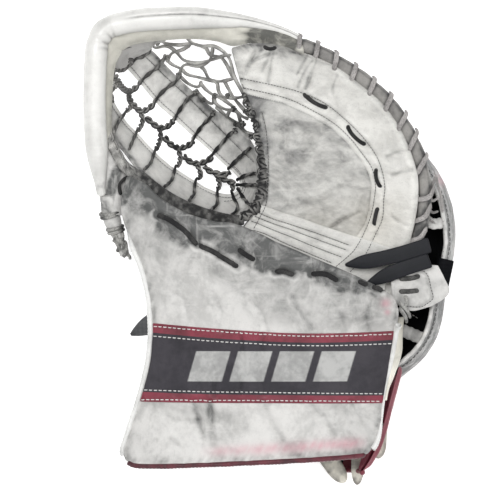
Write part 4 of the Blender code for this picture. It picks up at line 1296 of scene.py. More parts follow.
def matched_loops(outer, window, n):
    """The window's points paired with the outline's, so that the spokes between them run square."""
    corner_pairs = [(0.0, 0.0), (0.43, 0.42), (0.53, 0.535), (1.0, 1.0)]
    t = np.linspace(0, 1, n, endpoint=False)
    inner_t = np.interp(t, [a for a, _ in corner_pairs], [b for _, b in corner_pairs])
    out = loop_points(outer, 1200, outer[0])
    inn = loop_points(window, 1200, window[0])
    return out[(t * 1200).astype(int)], inn[(inner_t * 1200).astype(int) % 1200]


n_round, n_across = ((520, 30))
outer_ring, inner_ring = matched_loops(T_OUTLINE, T_WINDOW, n_round)
share = np.linspace(0, 1, n_across)
plan = lerp(outer_ring[None], inner_ring[None], share[:, None, None])
hem, _ = distance_to(plan, np.vstack([inner_ring, inner_ring[:1]]))
rim_d, _ = distance_to(plan, np.vstack([outer_ring, outer_ring[:1]]))
T_SEAM = [(-108.4, 165.1), (-90.3, 147.1), (-69.7, 128.1), (-43.9, 102.3), (-25.8, 84.3), (-12, 71.4)]
seam_d, _ = distance_to(plan, resample(T_SEAM, 3.0))
x, y = plan[..., 0], plan[..., 1]
lifts = (0.7 * bell(hem - 1.3, 1.4) - 0.6 * bell(hem - 2.8, 0.8) - 0.7 * bell(seam_d, 1.0)
         + 0.5 * wander(x, y, 16, 3, seed=101))
top, normals = POCKET.drop(plan.reshape(-1, 2), lifts.ravel())
top = top.reshape(plan.shape[:2] + (3,))
# evened out along the spokes so that no steep place folds
for _ in range(3):
    top[1:-1] = (top[:-2] + 2 * top[1:-1] + top[2:]) / 4
    top = (np.roll(top, 1, axis=1) + 2 * top + np.roll(top, -1, axis=1)) / 4
TRAP_SEEN_GRID = np.concatenate([top, top[:, :1]], axis=1)
T_SEEN = Seen(TRAP_SEEN_GRID)
normals = normals.reshape(top.shape)
back = top - normals * 2.2
count = n_round * n_across
verts = np.vstack([top.reshape(-1, 3), back.reshape(-1, 3)])
quads = grid_faces(n_across, n_round, wrap=True)
faces = quads.tolist() + (quads[:, ::-1] + count).tolist()
for row in (0, n_across - 1):
    edge = row * n_round + np.arange(n_round)
    after = np.roll(edge, -1)
    faces += np.stack([edge, after, after + count, edge + count], axis=1).tolist()
cloud = wander(x, y, 20, 4, seed=103, stretch=(0.6, 1.5), turn=0.75)
fine = wander(x, y, 6, 3, seed=104)
dirt_and_shade = 0.16 + 0.20 * np.clip(cloud, -0.5, 1) + 0.10 * np.clip(fine, -0.5, 1)
dirt_and_shade = dirt_and_shade + 0.30 * bell(seam_d, 0.8) + 0.22 * bell(hem - 2.9, 0.8) - 0.10 * bell(hem - 1.2, 1.2)
# painted shade along the outer edge beside the rim wall, heavier at the lower left where the key light
# catches the edge
dirt_and_shade = dirt_and_shade + 0.30 * bell(rim_d, 3.5) + 0.5 * bell(rim_d, 2.6) * smooth((-88 - x) / 8)
beyond = smooth((0.690 * x + 0.724 * y - 38 + 14) / 6)
dirt_and_shade = dirt_and_shade + 0.06 * beyond + 0.10 * smooth((12 - seam_d) / 12) * bell(fine - 0.5, 0.5) * beyond
dirt_and_shade = dirt_and_shade * (1 - 0.7 * smooth((y - 150) / 10) * smooth((-118 - x) / 10))
dirt_and_shade = dirt_and_shade - 0.12 * bell(np.hypot(x + 98, y - 66), 30)
dirt_and_shade = np.clip(dirt_and_shade, 0, 0.9).ravel()
t_skin = make("t_leather_skin", [(verts, faces)], TRAP, {"dirt_and_shade": np.concatenate([dirt_and_shade, dirt_and_shade])})
blend_to_thumb(t_skin)
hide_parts("t_leather")


def grown(ring, amount):
    """A closed ring moved outwards in plan."""
    ahead = np.roll(ring, -1, axis=0) - np.roll(ring, 1, axis=0)
    out = np.stack([ahead[:, 1], -ahead[:, 0]], axis=1)
    out /= np.linalg.norm(out, axis=1)[:, None] + 1e-9
    if ((ring - ring.mean(axis=0)) * out).sum() < 0:
        out = -out
    moved = ring + out * amount
    for _ in range(4):
        moved = (np.roll(moved, 1, axis=0) + 2 * moved + np.roll(moved, -1, axis=0)) / 4
    return np.vstack([moved, moved[:1]])


def thinned(line, step=3.0):
    keep = [line[0]]
    for p in line[1:]:
        if np.hypot(*(p - keep[-1])) >= step:
            keep.append(p)
    return np.array(keep)


chunks = stitches(T_SEEN, thinned(grown(inner_ring, 2.9)), length=2.1, gap=0.5, thread=0.5, lift=0.12)
chunks += stitches(T_SEEN, T_SEAM, length=2.4, gap=0.3, thread=0.5, lift=0.12)
T_HEEL_SEAM = [(-36.1, 72.2), (-29.2, 67.9), (-23.2, 60.2), (-21.1, 50.7), (-27.5, 41.3), (-42.1, 38.7)]
chunks += stitches(T_SEEN, T_HEEL_SEAM, length=2.2, gap=0.4, thread=0.5, lift=0.12)
t_thread = make("t_leather_stitches", chunks, THREAD_DARK)
blend_to_thumb(t_thread)

# ---------------------------------------------------------------- rim

RIM_PATH = [(-145.5, 44, 86), (-147, 60, 93), (-149, 80, 98), (-150.5, 101, 99), (-151, 122, 100),
            (-150.5, 145, 101), (-149.5, 165, 102), (-147.5, 177, 102), (-141.5, 186.5, 102),
            (-130.5, 191.5, 102), (-115, 194.5, 101), (-95, 196.3, 100), (-69, 197.2, 99),
            (-43, 196, 98), (-19, 193.6, 96.5),
            (1, 189.4, 95), (16, 184.2, 94.5), (27, 178.5, 93)]
RIM_RUN = 330.0           # length of the whole roll, along which its creases are placed
RIM_SPLIT = 0.44          # where the left piece and the top piece meet, at the corner


def rim_taper(t):
    """How the roll thins towards the fingers."""
    return lerp(1.0, 0.32, smooth((t - 0.66) / 0.30))


def rim_piece(name, start, end, blend):
    """One length of the padded rim. The top length has a second leather sewn along its outer half."""
    line = resample(RIM_PATH, 1.3)
    whole = len(line)
    t = np.linspace(0, 1, whole)
    tangent = np.gradient(line, axis=0)
    tangent /= np.linalg.norm(tangent, axis=1)[:, None]
    side = np.cross(tangent, np.tile([0, 0, 1.0], (whole, 1)))
    side /= np.linalg.norm(side, axis=1)[:, None]
    above = np.cross(side, tangent)
    run = t * RIM_RUN
    size = 9.8 * np.ones(whole)
    size *= lerp(0.42, 1.0, smooth(t / 0.15)) * rim_taper(t)
    size *= 1 - 0.06 * bell(run - 0.425 * RIM_RUN, 3.5) - 0.04 * bell(run - 0.47 * RIM_RUN, 3.0)
    keep = slice(int(start * (whole - 1)), int(end * (whole - 1)) + 1)
    line, tangent, side, above, run, size, t = (q[keep] for q in (line, tangent, side, above, run, size, t))
    n, sides = len(line), 44
    a = np.linspace(0, 2 * np.pi, sides, endpoint=False)
    strip = smooth((t - 0.50) / 0.05)[:, None]
    along = run[:, None] + 0 * a[None]
    round_ = 10 * a[None] + 0 * run[:, None]
    radius = size[:, None] * np.ones((1, sides))
    radius += 0.35 * wander(along, round_, 26, 3, seed=111, stretch=(1.6, 0.8))
    radius -= 0.9 * strip * bell(a[None] - 1.85, 0.09)
    radius += 0.9 * strip * bell(a[None] - 2.5, 0.45)
    # short creases round the corner and across the top
    for at, depth in ((0.405, 1.3), (0.425, 1.7), (0.455, 1.5), (0.475, 0.9), (0.70, 0.4), (0.83, 0.4)):
        radius -= depth * bell(run[:, None] - at * RIM_RUN, 1.6) * bell(a[None] - 0.5, 0.75)
    ring = (np.cos(a)[None, :, None] * side[:, None]
            + np.sin(a)[None, :, None] * above[:, None]) * radius[..., None]
    verts = line[:, None] + ring
    x, y = verts[..., 0], verts[..., 1]
    dirt_and_shade = 0.05 + 0.16 * np.clip(wander(x, y, 30, 4, seed=113), 0, 1)
    dirt_and_shade = dirt_and_shade + 0.55 * strip * bell(a[None] - 1.85, 0.07) + 0.10 * strip * smooth((a[None] - 1.85) / 0.3)
    # painted shade on the roll's lower inner flank and in the short creases round the corner
    inward = smooth((0.6 - a[None]) / 0.9) * (a[None] < 3) + smooth((a[None] - 5.2) / 0.7)
    dirt_and_shade = dirt_and_shade + 0.20 * inward
    for at in (0.405, 0.425, 0.455, 0.475):
        dirt_and_shade = dirt_and_shade + 0.20 * bell(run[:, None] - at * RIM_RUN, 1.4) * bell(a[None] - 0.4, 0.8)
    near = smooth((x + 34) / 24) * smooth((0.9 - a[None]) / 0.6) * (a[None] < 3)
    dirt_and_shade = dirt_and_shade + near * (0.62 + 0.35 * wander(x, y, 8, 3, seed=115, stretch=(1.6, 0.6)))
    low = smooth((66 - y) / 20) * (x < -100)
    dirt_and_shade = dirt_and_shade + 0.55 * low * np.clip(0.3 + wander(x, y, 7, 3, seed=116), 0, 1)
    faces = grid_faces(n, sides, wrap=True).tolist()
    faces += [list(range(sides))[::-1], list(range((n - 1) * sides, n * sides))]
    caps = [(0, 0.5), (1, 0.8)] if start == 0 else [(n - 1, 0.5), (n - 2, 0.8)]
    for index, weight in caps:
        verts[index] = line[index] + (verts[index] - line[index]) * weight
    obj = make(name, [(verts.reshape(-1, 3), faces)], RIM, {"dirt_and_shade": np.clip(dirt_and_shade, 0, 0.9).ravel()})
    blend(obj)
    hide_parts("rim_roll")
    return obj


rim_piece("rim_left_skin", 0, RIM_SPLIT, blend_to_thumb)
rim_piece("rim_top_skin", RIM_SPLIT, 1, blend_to_palm)

rim_at = curve([(-145, 53, 94), (-148, 73, 97), (-150, 101, 99), (-151, 122, 100), (-151, 148, 101),
                (-149.3, 167, 102), (-147, 178, 102), (-141, 187, 102), (-130, 191.5, 102),
                (-115, 194.5, 101), (-95, 196.5, 100),
                (-69, 197.2, 99), (-43, 196, 98), (-19, 193.6, 96.5), (1, 189.4, 95), (16, 184.2, 94.5),
                (27, 178.5, 93)])


SMEAR = [(-13, 184), (0, 182), (13, 180), (20, 176)]


def inner_wall(name, rim_range, foot, blend, node, seed, smear=False, material=BEIGE, share=1.0):
    """The soft wall from the roll down to the line at its foot, creased across."""
    rows, columns = 26, 190
    s, t = np.meshgrid(np.linspace(0, 1, rows), np.linspace(0, 1, columns), indexing="ij")
    roll = rim_at(lerp(*rim_range, t[0]))
    low = curve(foot)(t[0])
    toward = low - roll
    toward /= np.linalg.norm(toward, axis=1)[:, None]
    upper = roll + toward * (6.0 * rim_taper(lerp(*rim_range, t[0])))[:, None] + np.array([0, 0, 2.0])
    foot = low + np.array([0, 0, 0.8])
    grid = lerp(upper[None], foot[None], s[..., None])
    x, y = grid[..., 0], grid[..., 1]
    run = travelled(roll)
    billow = np.sin(np.pi * s) * (1.2 + 1.0 * wander(run[None] + 0 * s, 14 * s, 15, 2, seed=seed))
    grid[..., 2] += billow
    dirt_and_shade = 0.06 + 0.20 * np.clip(wander(x, y, 17, 3, seed=seed + 1), -0.3, 1) + 0.30 * bell(1 - s, 0.18)
    if smear:
        near = smooth((x + 40) / 25)
        dirt_and_shade = dirt_and_shade + near * (0.30 + 0.45 * wander(x, y, 9, 3, seed=seed + 2, stretch=(1.8, 0.5)))
        d, _ = distance_to(grid[..., :2], resample(SMEAR, 3.0))
        dirt_and_shade = dirt_and_shade + 1.4 * bell(d + 1.5 * wander(x, y, 7, 3, seed=seed + 4), 4.6)
    wall = panel(name, grid, 1.8, material, {"dirt_and_shade": np.clip(dirt_and_shade * share, 0, 0.95)}, lip=0.6)
    blend(wall)
    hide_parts(node)
    return grid


inner_wall("rim_wall_thumb_side", (0.10, 0.42),
                        [(-133, 84, 91), (-136.5, 98, 91), (-136.5, 130, 89), (-134, 156, 88),
                         (-128, 169, 88)],
                        blend_to_thumb, "rim_gusset_thumb_side", 121)
inner_wall("rim_wall_finger_side", (0.40, 1.0),
                         [(-131, 168, 88), (-118, 175, 88), (-90, 179, 88), (-66, 180, 88),
                          (-46, 178, 88.5),
                          (-32, 174, 88.8), (-15, 176.5, 91), (6, 174.8, 95), (21, 170, 97.5),
                          (29, 166, 97)],
                         blend_to_palm, "rim_gusset_finger_side", 131, smear=True)
CORNER_FOOT = [(-140.2, 141.9), (-138.5, 148.8), (-135, 153.1), (-129.9, 153.1), (-123, 157.4),
               (-114.4, 165.1), (-104.9, 170.3), (-98, 177.2), (-92, 181.5)]
corner_foot, _ = POCKET.drop(np.array(CORNER_FOOT, float), 1.8)
# the corner wall gets the white leather and a third of the grime so that it reads lighter where the rim
# shades it: painted light
inner_wall("rim_wall_corner", (0.32, 0.66), [tuple(q) for q in corner_foot],
                         blend_to_thumb, "rim_gusset_thumb_side", 125, material=WHITE, share=0.3)

# the leather that closes the rim's lower end against the thumb
patch_left = curve([(-147.1, 92), (-148.8, 73.1), (-147.1, 57.6), (-143.6, 42.1), (-141, 28.4)])
patch_right = curve([(-138.5, 102.3), (-134.2, 85.1), (-127.3, 70.5), (-123.8, 54.2), (-127.3, 28.4)])
patch_plan = between(patch_left, patch_right, curve([patch_left([0])[0], patch_right([0])[0]]),
                     curve([patch_left([1])[0], patch_right([1])[0]]))
v, u = np.meshgrid(np.linspace(0, 1, 90), np.linspace(0, 1, 44), indexing="ij")
plan = patch_plan(u, v)
x, y = plan[..., 0], plan[..., 1]
height = lerp(91, 84, v) + 4.5 * np.sin(np.pi * u) ** 0.7 + 0.6 * wander(x, y, 9, 3, seed=171)
grid = np.concatenate([plan, height[..., None]], axis=-1)
dark_spot, _ = distance_to(plan, resample([(-131.6, 66.2), (-135, 55.9), (-138.5, 44.7)], 2.0))
dirt_and_shade = 0.10 + 0.16 * wander(x, y, 9, 3, seed=173) + 0.70 * smooth((6.2 - dark_spot) / 3.0)
thumb_patch = panel("thumb_tip_patch", grid, 3.0, WHITE, {"dirt_and_shade": np.clip(dirt_and_shade, 0, 0.95)}, lip=1.2)
blend_to_thumb(thumb_patch)

# ---------------------------------------------------------------- laces of the pocket

n = Nodes("net_lace_wax", roughness=0.55, specular=0.25, sheen=0.05)
patch = n.noise(70.0, 4.0, 0.6)
yarn = n.cells(1500.0)
colour = n.mix((0.009, 0.009, 0.010), (0.035, 0.035, 0.035),
               n.math("MULTIPLY", n.ramp(patch, 0.4, 0.7), 0.7))
# painted highlight: a pale colour mixed in where the black net laces are lit; the thumb's edge strip takes
# its own grey tone from the same mark
tone_and_highlight = n.mix((0.62, 0.61, 0.58), (0.44, 0.43, 0.41), n.ramp(patch, 0.4, 0.7))
colour = n.mix(colour, tone_and_highlight, n.mark("tone_and_highlight"))
colour = n.mix(colour, (0.012, 0.012, 0.012), n.math("MULTIPLY", n.ramp(yarn, 0.4, 0.85), 0.35))
# painted shade at the edges of the highlighted strands
colour = n.mix(colour, (0.02, 0.02, 0.02), n.mark("dirt_and_shade"))
NET_LACE = n.finish(colour, None, n.math("ADD", yarn, n.noise(900.0, 2.0)), 0.0003)

# places where the net laces get a painted highlight
HIGHLIGHT_PLACES = [(p, r, s) for p, r, s in zip(
    [(-72.2, 176.3), (-47.3, 160.8), (-94.6, 171.1), (-131.6, 145.3), (-135.9, 133.3), (-115.2, 128.1),
     (-139.3, 92), (-130.7, 74.8)],
    (30, 26, 20, 18, 14, 12, 20, 22), (0.95, 0.85, 0.7, 0.75, 0.5, 0.3, 0.75, 0.65))]


def highlight_at(x, y):
    value = 0 * x
    for (cx, cy), r, s in HIGHLIGHT_PLACES:
        value = np.maximum(value, s * bell(np.hypot(x - cx, y - cy), r))
    return value


def lace_object(name, chunks, sides, blend, extra_highlight=0.0, edge_shade=0.75):
    tone_and_highlight, dirt_and_shade = [], []
    for verts, _ in chunks:
        a = np.tile(np.arange(sides) * 2 * np.pi / sides, len(verts) // sides)
        x, y = verts[:, 0], verts[:, 1]
        light = np.clip(highlight_at(x, y) + extra_highlight * smooth((y - 95) / 30), 0, 1)
        light = light * (0.80 + 0.35 * wander(x, y, 7, 2, seed=141))
        tone_and_highlight.append(np.clip(light, 0, 1))
        # painted shade on the edges of each highlighted strand, and a painted highlight on its lit side
        edge = smooth((np.abs(np.cos(a)) - 0.45) / 0.5)
        lit = smooth((np.cos(a - 2.5) - 0.35) / 0.4) * (0.30 + 0.30 * wander(x, y, 5, 2, seed=143))
        tone_and_highlight[-1] = np.clip(np.maximum(tone_and_highlight[-1], lit), 0, 1)
        dirt_and_shade.append(np.clip(edge_shade * edge * (light > 0.1), 0, 1))
    obj = make(name, chunks, NET_LACE,
               {"tone_and_highlight": np.concatenate(tone_and_highlight), "dirt_and_shade": np.concatenate(dirt_and_shade)})
    blend(obj)
    return obj


SURFACE = Seen(pocket_surface(u, v), TRAP_SEEN_GRID)


def eased(lift, n, ends=(0.0, 0.0), reach=6.0, step=1.0):
    """A lift along a lace that starts and ends lower or higher."""
    run = np.arange(n) * step
    near = np.clip(np.minimum(run, run[-1] - run) / reach, 0, 1)
    first = np.clip(1 - run / reach, 0, 1)
    last = np.clip(1 - (run[-1] - run) / reach, 0, 1)
    return lift + ends[0] * smooth(first) + ends[1] * smooth(last) + 0 * near


def flat_lace(line, width=3.9, thick=2.5, lift=2.0, ends=(0.0, 0.0), turn=22.0, sides=10, surface=None):
    p = resample(line, 1.0)
    places, normals = (surface or SURFACE).drop(p, eased(lift, len(p), ends))
    places = smooth_line(places, 3)
    return sweep(places, width, thick, up=smooth_line(normals, 3), sides=sides,
                 twist=2 * math.pi / turn)


def smooth_line(points, times):
    points = np.array(points)
    for _ in range(times):
        inner = (points[:-2] + 2 * points[1:-1] + points[2:]) / 4
        points[1:-1] = inner
    return points


def pair_lace(line, strand=3.0, pitch=14.0, lift=1.8, start=0.0, spread=0.52, sides=10, surface=None):
    p = resample(line, 1.0)
    places, normals = (surface or SURFACE).drop(p, lift)
    places, normals = smooth_line(places, 4), smooth_line(normals, 4)
    return twisted_pair(places, strand, pitch, start=start, spread=spread, sides=sides)


SCALLOPS = [
    [(-135, 148.8), (-134.2, 143.6), (-131.6, 139.3), (-127.3, 135), (-123, 134.2), (-115.2, 139.3)],
    [(-124.7, 129), (-119.5, 122.1), (-112.7, 116.1), (-105.8, 118.7), (-100.6, 123.8)],
    [(-108.4, 110.9), (-103.2, 105.8), (-96.3, 101.5), (-89.4, 103.2), (-84.3, 108.4)],
    [(-92.9, 93.7), (-87.7, 87.7), (-80.8, 84.3), (-73.1, 86), (-66.2, 91.2)],
    [(-76.5, 77.4), (-70.5, 72.2), (-63.6, 70.5), (-55, 73.1), (-49, 77.4)],
    [(-57.6, 67.9), (-52.5, 63.6), (-46.4, 61.9), (-38.7, 61.1), (-31.8, 64.5)],
    [(-49, 62.8), (-43, 58.5), (-36.1, 55), (-29.2, 54.2)],
]
STRAIGHTS = [
    [(-135.9, 153.1), (-130.7, 151.4), (-124.7, 154.8), (-119.5, 160), (-114.4, 164.3), (-108.4, 166),
     (-102.3, 171.1)],
    [(-115.2, 140.2), (-109.2, 146.2), (-103.2, 151.4), (-97.2, 155.7), (-92, 162.5), (-88.6, 166)],
    [(-101.5, 123.8), (-93.7, 133.3), (-86, 140.2), (-81.7, 142.8), (-77.4, 148.8)],
    [(-84.3, 108.4), (-76.5, 120.4), (-68.8, 129.9), (-62.8, 132.4)],
    [(-67.9, 92), (-57.6, 104.9), (-50.7, 111.8), (-47.3, 115.2)],
    [(-51.6, 76.5), (-41.3, 88.6), (-31, 99.8)],
    [(-35.3, 66.2), (-27.5, 74.8), (-19.8, 81.7), (-15.5, 86)],
    [(-27.5, 56.8), (-20.6, 61.1), (-11.2, 63.6)],
    [(-28.4, 52.5), (-19.8, 53.3), (-9.5, 52.9)],
    [(-27.1, 49.9), (-23.2, 43), (-16.3, 35.3)],
]
LINKS = [
    [(-123.8, 135), (-123, 128.1), (-121.3, 121.3), (-125.6, 117)],
    [(-112.7, 116.1), (-110.9, 108.4), (-112.7, 102.3), (-115.2, 98.9)],
    [(-96.3, 101.5), (-95.5, 94.6), (-97.2, 87.7), (-99.8, 82.6)],
    [(-80.8, 84.3), (-79.1, 78.3), (-79.1, 72.2), (-81.7, 67.9)],
    [(-63.6, 70.5), (-61.9, 64.5), (-60.2, 60.2), (-63.6, 56.8)],
    [(-46.4, 61.9), (-44.7, 55.9), (-43.9, 51.6), (-45.6, 48.2)],
    [(-32.7, 55), (-31.8, 50.7), (-32.7, 46.4)],
    [(-135.9, 145.3), (-134.2, 141), (-135.9, 136.7)],
]
LEGS = [
    [(-135.9, 136.7), (-137.6, 134.2), (-140.2, 129.9), (-142.8, 124.7)],
    [(-125.6, 117), (-129.9, 110.9), (-133.3, 105.8), (-135, 101.5), (-136.7, 95.5)],
    [(-115.2, 99.8), (-117.8, 93.7), (-120.4, 87.7), (-122.1, 82.6)],
    [(-99.8, 83.4), (-102.3, 75.7), (-104.1, 70.5), (-109.2, 65.4)],
    [(-82.6, 68.8), (-84.3, 61.9), (-86, 55.9), (-93.7, 49)],
    [(-64.5, 56.8), (-66.2, 49.9), (-66.2, 43.9), (-69.7, 39.6), (-73.1, 31.8)],
    [(-45.6, 49), (-46.4, 42.1), (-46.4, 35.3), (-51.6, 30.1), (-55, 24.9)],
    [(-33.5, 46.4), (-31.8, 40.4), (-28.4, 34.4), (-29.2, 29.2), (-35.3, 24.9)],
]
chunks = []
for k, line in enumerate(SCALLOPS):
    chunks += pair_lace(line, lift=3.0, start=0.7 * k)
for k, line in enumerate(LINKS):
    chunks += pair_lace(line, strand=2.5, pitch=11.0, lift=2.4, start=1.1 * k)
for line in STRAIGHTS:
    chunks.append(flat_lace(line, lift=2.3, ends=(0.8, -0.8)))
for line in LEGS:
    chunks.append(flat_lace(line, width=3.3, lift=2.2, ends=(0.4, -0.8), turn=26.0))
window_lace = lace_object("window_net_lace", chunks, 10, blend_to_thumb)
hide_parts("window_net")

PALM_NET = [
    [(-102.3, 177.2), (-98.9, 171.1), (-94.6, 172), (-88.6, 172.9), (-80.4, 167.7), (-74.4, 160.8),
     (-62.4, 158.2), (-50.3, 160.8), (-40.4, 164.3), (-33.5, 165.1)],
    [(-96.3, 181), (-93.7, 177.2), (-88.6, 175), (-78.3, 173.7), (-67.1, 175), (-58.5, 172.9),
     (-49, 172.9), (-39.6, 167.7), (-34.4, 160.8), (-31, 147.1), (-24.9, 135), (-20.1, 125.6)],
    [(-72.2, 181), (-66.2, 175), (-55, 171.1), (-51.6, 165.1), (-42.1, 163), (-36.1, 154.8),
     (-32.2, 146.2)],
    [(-88.9, 159.1), (-84.3, 166.8), (-76.8, 169), (-68.4, 173.7)],
    [(-78.3, 147.1), (-75.7, 154.8), (-72.2, 156.9), (-60.2, 155.7), (-51.6, 160.8), (-49, 171.1)],
    [(-88.9, 161.7), (-86, 158.2), (-81.7, 155.7), (-75.7, 153.1)],
    [(-75.7, 153.1), (-72.2, 148.8), (-62.4, 146.2), (-52.7, 143.6), (-43, 142.4), (-31, 144.8)],
    [(-60.2, 155.7), (-56.3, 152.2), (-52.7, 144.8), (-45.6, 141.2), (-44.3, 134.2), (-40.6, 129.2),
     (-30.1, 128.1), (-23.7, 129)],
    [(-76.8, 146.2), (-69.7, 140.2), (-61.1, 137.6), (-59.3, 142.8)],
    [(-59.9, 141.2), (-55, 135.2), (-48.2, 130.4), (-42.1, 128.1), (-36.1, 123.8), (-31, 119.5),
     (-30.1, 116.1)],
    [(-39.6, 143.6), (-36.1, 136.7), (-31, 128.1), (-24.9, 120.7), (-16.5, 110.9)],
    [(-62.4, 132.8), (-55, 125.6), (-49, 123), (-49, 129.2)],
    [(-48.2, 128.1), (-46.4, 123), (-38.2, 118.3), (-29.8, 117), (-23.7, 112.2), (-18.9, 110.1)],
    [(-46.7, 120.7), (-37, 112.2), (-28.6, 106.2), (-20.1, 97.8), (-15.5, 92.9)],
    [(-37, 112.2), (-33.5, 118.3), (-28.6, 117), (-24.9, 106.2), (-22.5, 100.2), (-11.7, 95.5)],
    [(-94.6, 181.5), (-89.4, 179.7), (-86, 183.2)],
]


class Draped:
    """A smooth dish between the palm's edge and the T, for the slack laces there."""

    def drop(self, line, lift=0.0):
        places, _ = SURFACE.drop(line, 0.0)
        d = np.array([np.min(np.hypot(*(T_EDGE - p).T)) for p in line])
        e = np.array([np.min(np.hypot(*(PALM_EDGE[:, :2] - p).T)) for p in line])
        i = [int(np.argmin(np.hypot(*(T_EDGE - p).T))) for p in line]
        j = [int(np.argmin(np.hypot(*(PALM_EDGE[:, :2] - p).T))) for p in line]
        share = d / (d + e + 1e-6)
        z = lerp(T_EDGE_Z[i], PALM_EDGE[j, 2], smooth(share) ** 1.0)
        z = z - 6 * np.sin(np.pi * share)
        deep = places[:, 2]
        z = lerp(z, deep, 0.25)
        scale = (EYE.z - z) / (EYE.z - FACE_PLANE)
        xy = np.array([EYE.x, EYE.y]) + (np.asarray(line) - [EYE.x, EYE.y]) * scale[:, None]
        up = np.tile([0, 0, 1.0], (len(line), 1))
        return np.column_stack([xy, z + np.asarray(lift)]), up


T_EDGE = outer_ring[:n_round // 2]
T_EDGE_Z = top[0, :n_round // 2, 2]
palm_t = np.linspace(0, 1, 60)
PALM_EDGE = np.column_stack([palm_left(palm_t), 70 + 18 * smooth(palm_t)])
PALM_EDGE = np.vstack([PALM_EDGE, [(-40, 178, 90), (-55, 182, 91), (-75, 184, 92), (-95, 183, 92)]])
DRAPED = Draped()
chunks = []
for k, line in enumerate(PALM_NET):
    p = resample(line, 1.0)
    places, normals = DRAPED.drop(p, 1.2 * np.sin(np.arange(len(p)) * 0.35 + k))
    chunks.append(sweep(smooth_line(places, 4), 3.5, 2.6, up=normals, sides=10, twist=0.09))
# painted highlight that grows towards the top, with painted shade at the strand edges
palm_net = lace_object("palm_side_net_lace", chunks, 10, blend_to_palm, extra_highlight=0.62,
                       edge_shade=0.42)
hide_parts("finger_side_net")

# knots where the straight laces end at the T's outer edge
chunks = []
KNOTS = [(-97.2, 175.4), (-89.4, 163.4), (-78.3, 147.9), (-63.6, 133.3), (-47.3, 129.9), (-49, 115.2),
         (-30.1, 99.8), (-31, 118.7), (-20.6, 116.1), (-15.5, 95.5), (-57.6, 126.4), (-20.6, 125.6),
         (-29.2, 105.8), (-119.5, 160), (-36.1, 129.9), (-23.2, 105.8)]
for k, (x, y) in enumerate(KNOTS):
    place = DRAPED.drop(np.array([[x, y]]), 1.5)[0][0]
    for spin in (0.4 * k, 0.4 * k + 1.9):
        arm = np.array([math.cos(spin), math.sin(spin), 0]) * 2.6
        loop = [place - arm, place + [0, 0, 1.6], place + arm]
        chunks.append(sweep(resample(loop, 0.7), 3.0, 2.4, sides=10))
knots = lace_object("net_knots", chunks, 10, blend_to_palm)

# ---------------------------------------------------------------- bound edges

PALM_BINDING = [(-23.2, 133.3), (-20.1, 126.8), (-14.1, 110.1), (-11.2, 98), (-8.2, 83.4), (-6.6, 67.9),
                (-6.9, 54.2), (-8.6, 43), (-11.6, 35.3), (-18.1, 29.2), (-25.8, 24.1), (-33.5, 20.6)]


def edge_height(line):
    """The height of the palm's free edge beside each place."""
    j = [int(np.argmin(np.hypot(*(PALM_EDGE[:60, :2] - p).T))) for p in line]
    return smooth_line(PALM_EDGE[j, 2][:, None], 6)[:, 0]


random = np.random.RandomState(7)
p = resample(PALM_BINDING, 1.0)
t = np.linspace(0, 1, len(p))
z = edge_height(p) + 4.0 * smooth((t - 0.5) / 0.25)
thick = lerp(3.4, 8.2, smooth((t - 0.15) / 0.65))
lump = 1 + 0.22 * np.sin(np.arange(len(p)) * 0.62) + 0.15 * wander(p[:, 0], p[:, 1], 6, 2, seed=151)
core_line = np.column_stack([p, z - 1.2])
chunks = [sweep(core_line, 1.0, 0.95, sides=10, scale=thick * lump)]
turn = 0
at = 2
while at < len(p) - 3:
    width = thick[at] * (0.62 + 0.2 * random.rand())
    lean = random.uniform(-0.9, 0.9)
    ahead = (p[at + 2] - p[at - 2]) / np.linalg.norm(p[at + 2] - p[at - 2])
    across = np.array([ahead[1], -ahead[0]]) * math.cos(lean) + ahead * math.sin(lean)
    start = np.array([*(p[at] - across * width), z[at] - 3.5])
    middle = np.array([*p[at], z[at] + 0.36 * thick[at]])
    end = np.array([*(p[at] + across * width * 0.9), z[at] - 3.0])
    chunks.append(sweep(resample([start, middle, end], 0.9), 3.0, 1.8, sides=10))
    at += random.randint(3, 6)
# tails and loops of spare lace beside the binding
for k in range(12):
    i = int(lerp(6, len(p) - 10, k / 11))
    ahead = (p[i + 3] - p[i]) / np.linalg.norm(p[i + 3] - p[i])
    out = np.array([ahead[1], -ahead[0]]) * random.choice([-1, 1])
    loop = [np.array([*(p[i]), z[i]]),
            np.array([*(p[i] + out * 3.5 + ahead * 2), z[i] + 1.0]),
            np.array([*(p[i] + out * 3.0 + ahead * 6), z[i] + 0.6]),
            np.array([*(p[i] + ahead * 8.5), z[i] - 0.5])]
    chunks.append(sweep(resample(loop, 0.9), 1.7, 1.5, sides=10))
palm_binding = lace_object("palm_edge_binding", chunks, 10, blend_to_palm, edge_shade=0.35)

THUMB_BINDING = [(-142.8, 107.5), (-139.3, 95.5), (-133.3, 82.6), (-125.6, 70), (-108.4, 57.1),
                 (-90.3, 43.5), (-72.2, 33.8), (-52.7, 26.7), (-36.1, 23.2), (-23.2, 23.2)]
p = resample(THUMB_BINDING, 1.0)
edge_t = np.linspace(0, 1, 120)
edge_plan = pocket_thumb_edge(edge_t)
edge_z = 88 + 5 * smooth(edge_t / 0.4) - 20 * smooth((edge_t - 0.7) / 0.3)
j = [int(np.argmin(np.hypot(*(edge_plan - q).T))) for q in p]
z = smooth_line(edge_z[j][:, None], 6)[:, 0]
t = np.linspace(0, 1, len(p))
half = lerp(3.4, 4.6, smooth((t - 0.15) / 0.4)) * (1 - 0.25 * smooth((t - 0.85) / 0.15))
ahead = np.gradient(p, axis=0)
ahead /= np.linalg.norm(ahead, axis=1)[:, None]
out = np.stack([ahead[:, 1], -ahead[:, 0]], axis=1)
w = np.linspace(-1, 1, 20)
strip_plan = p[:, None] + out[:, None] * (half[:, None] * w[None])[..., None]
x, y = strip_plan[..., 0], strip_plan[..., 1]
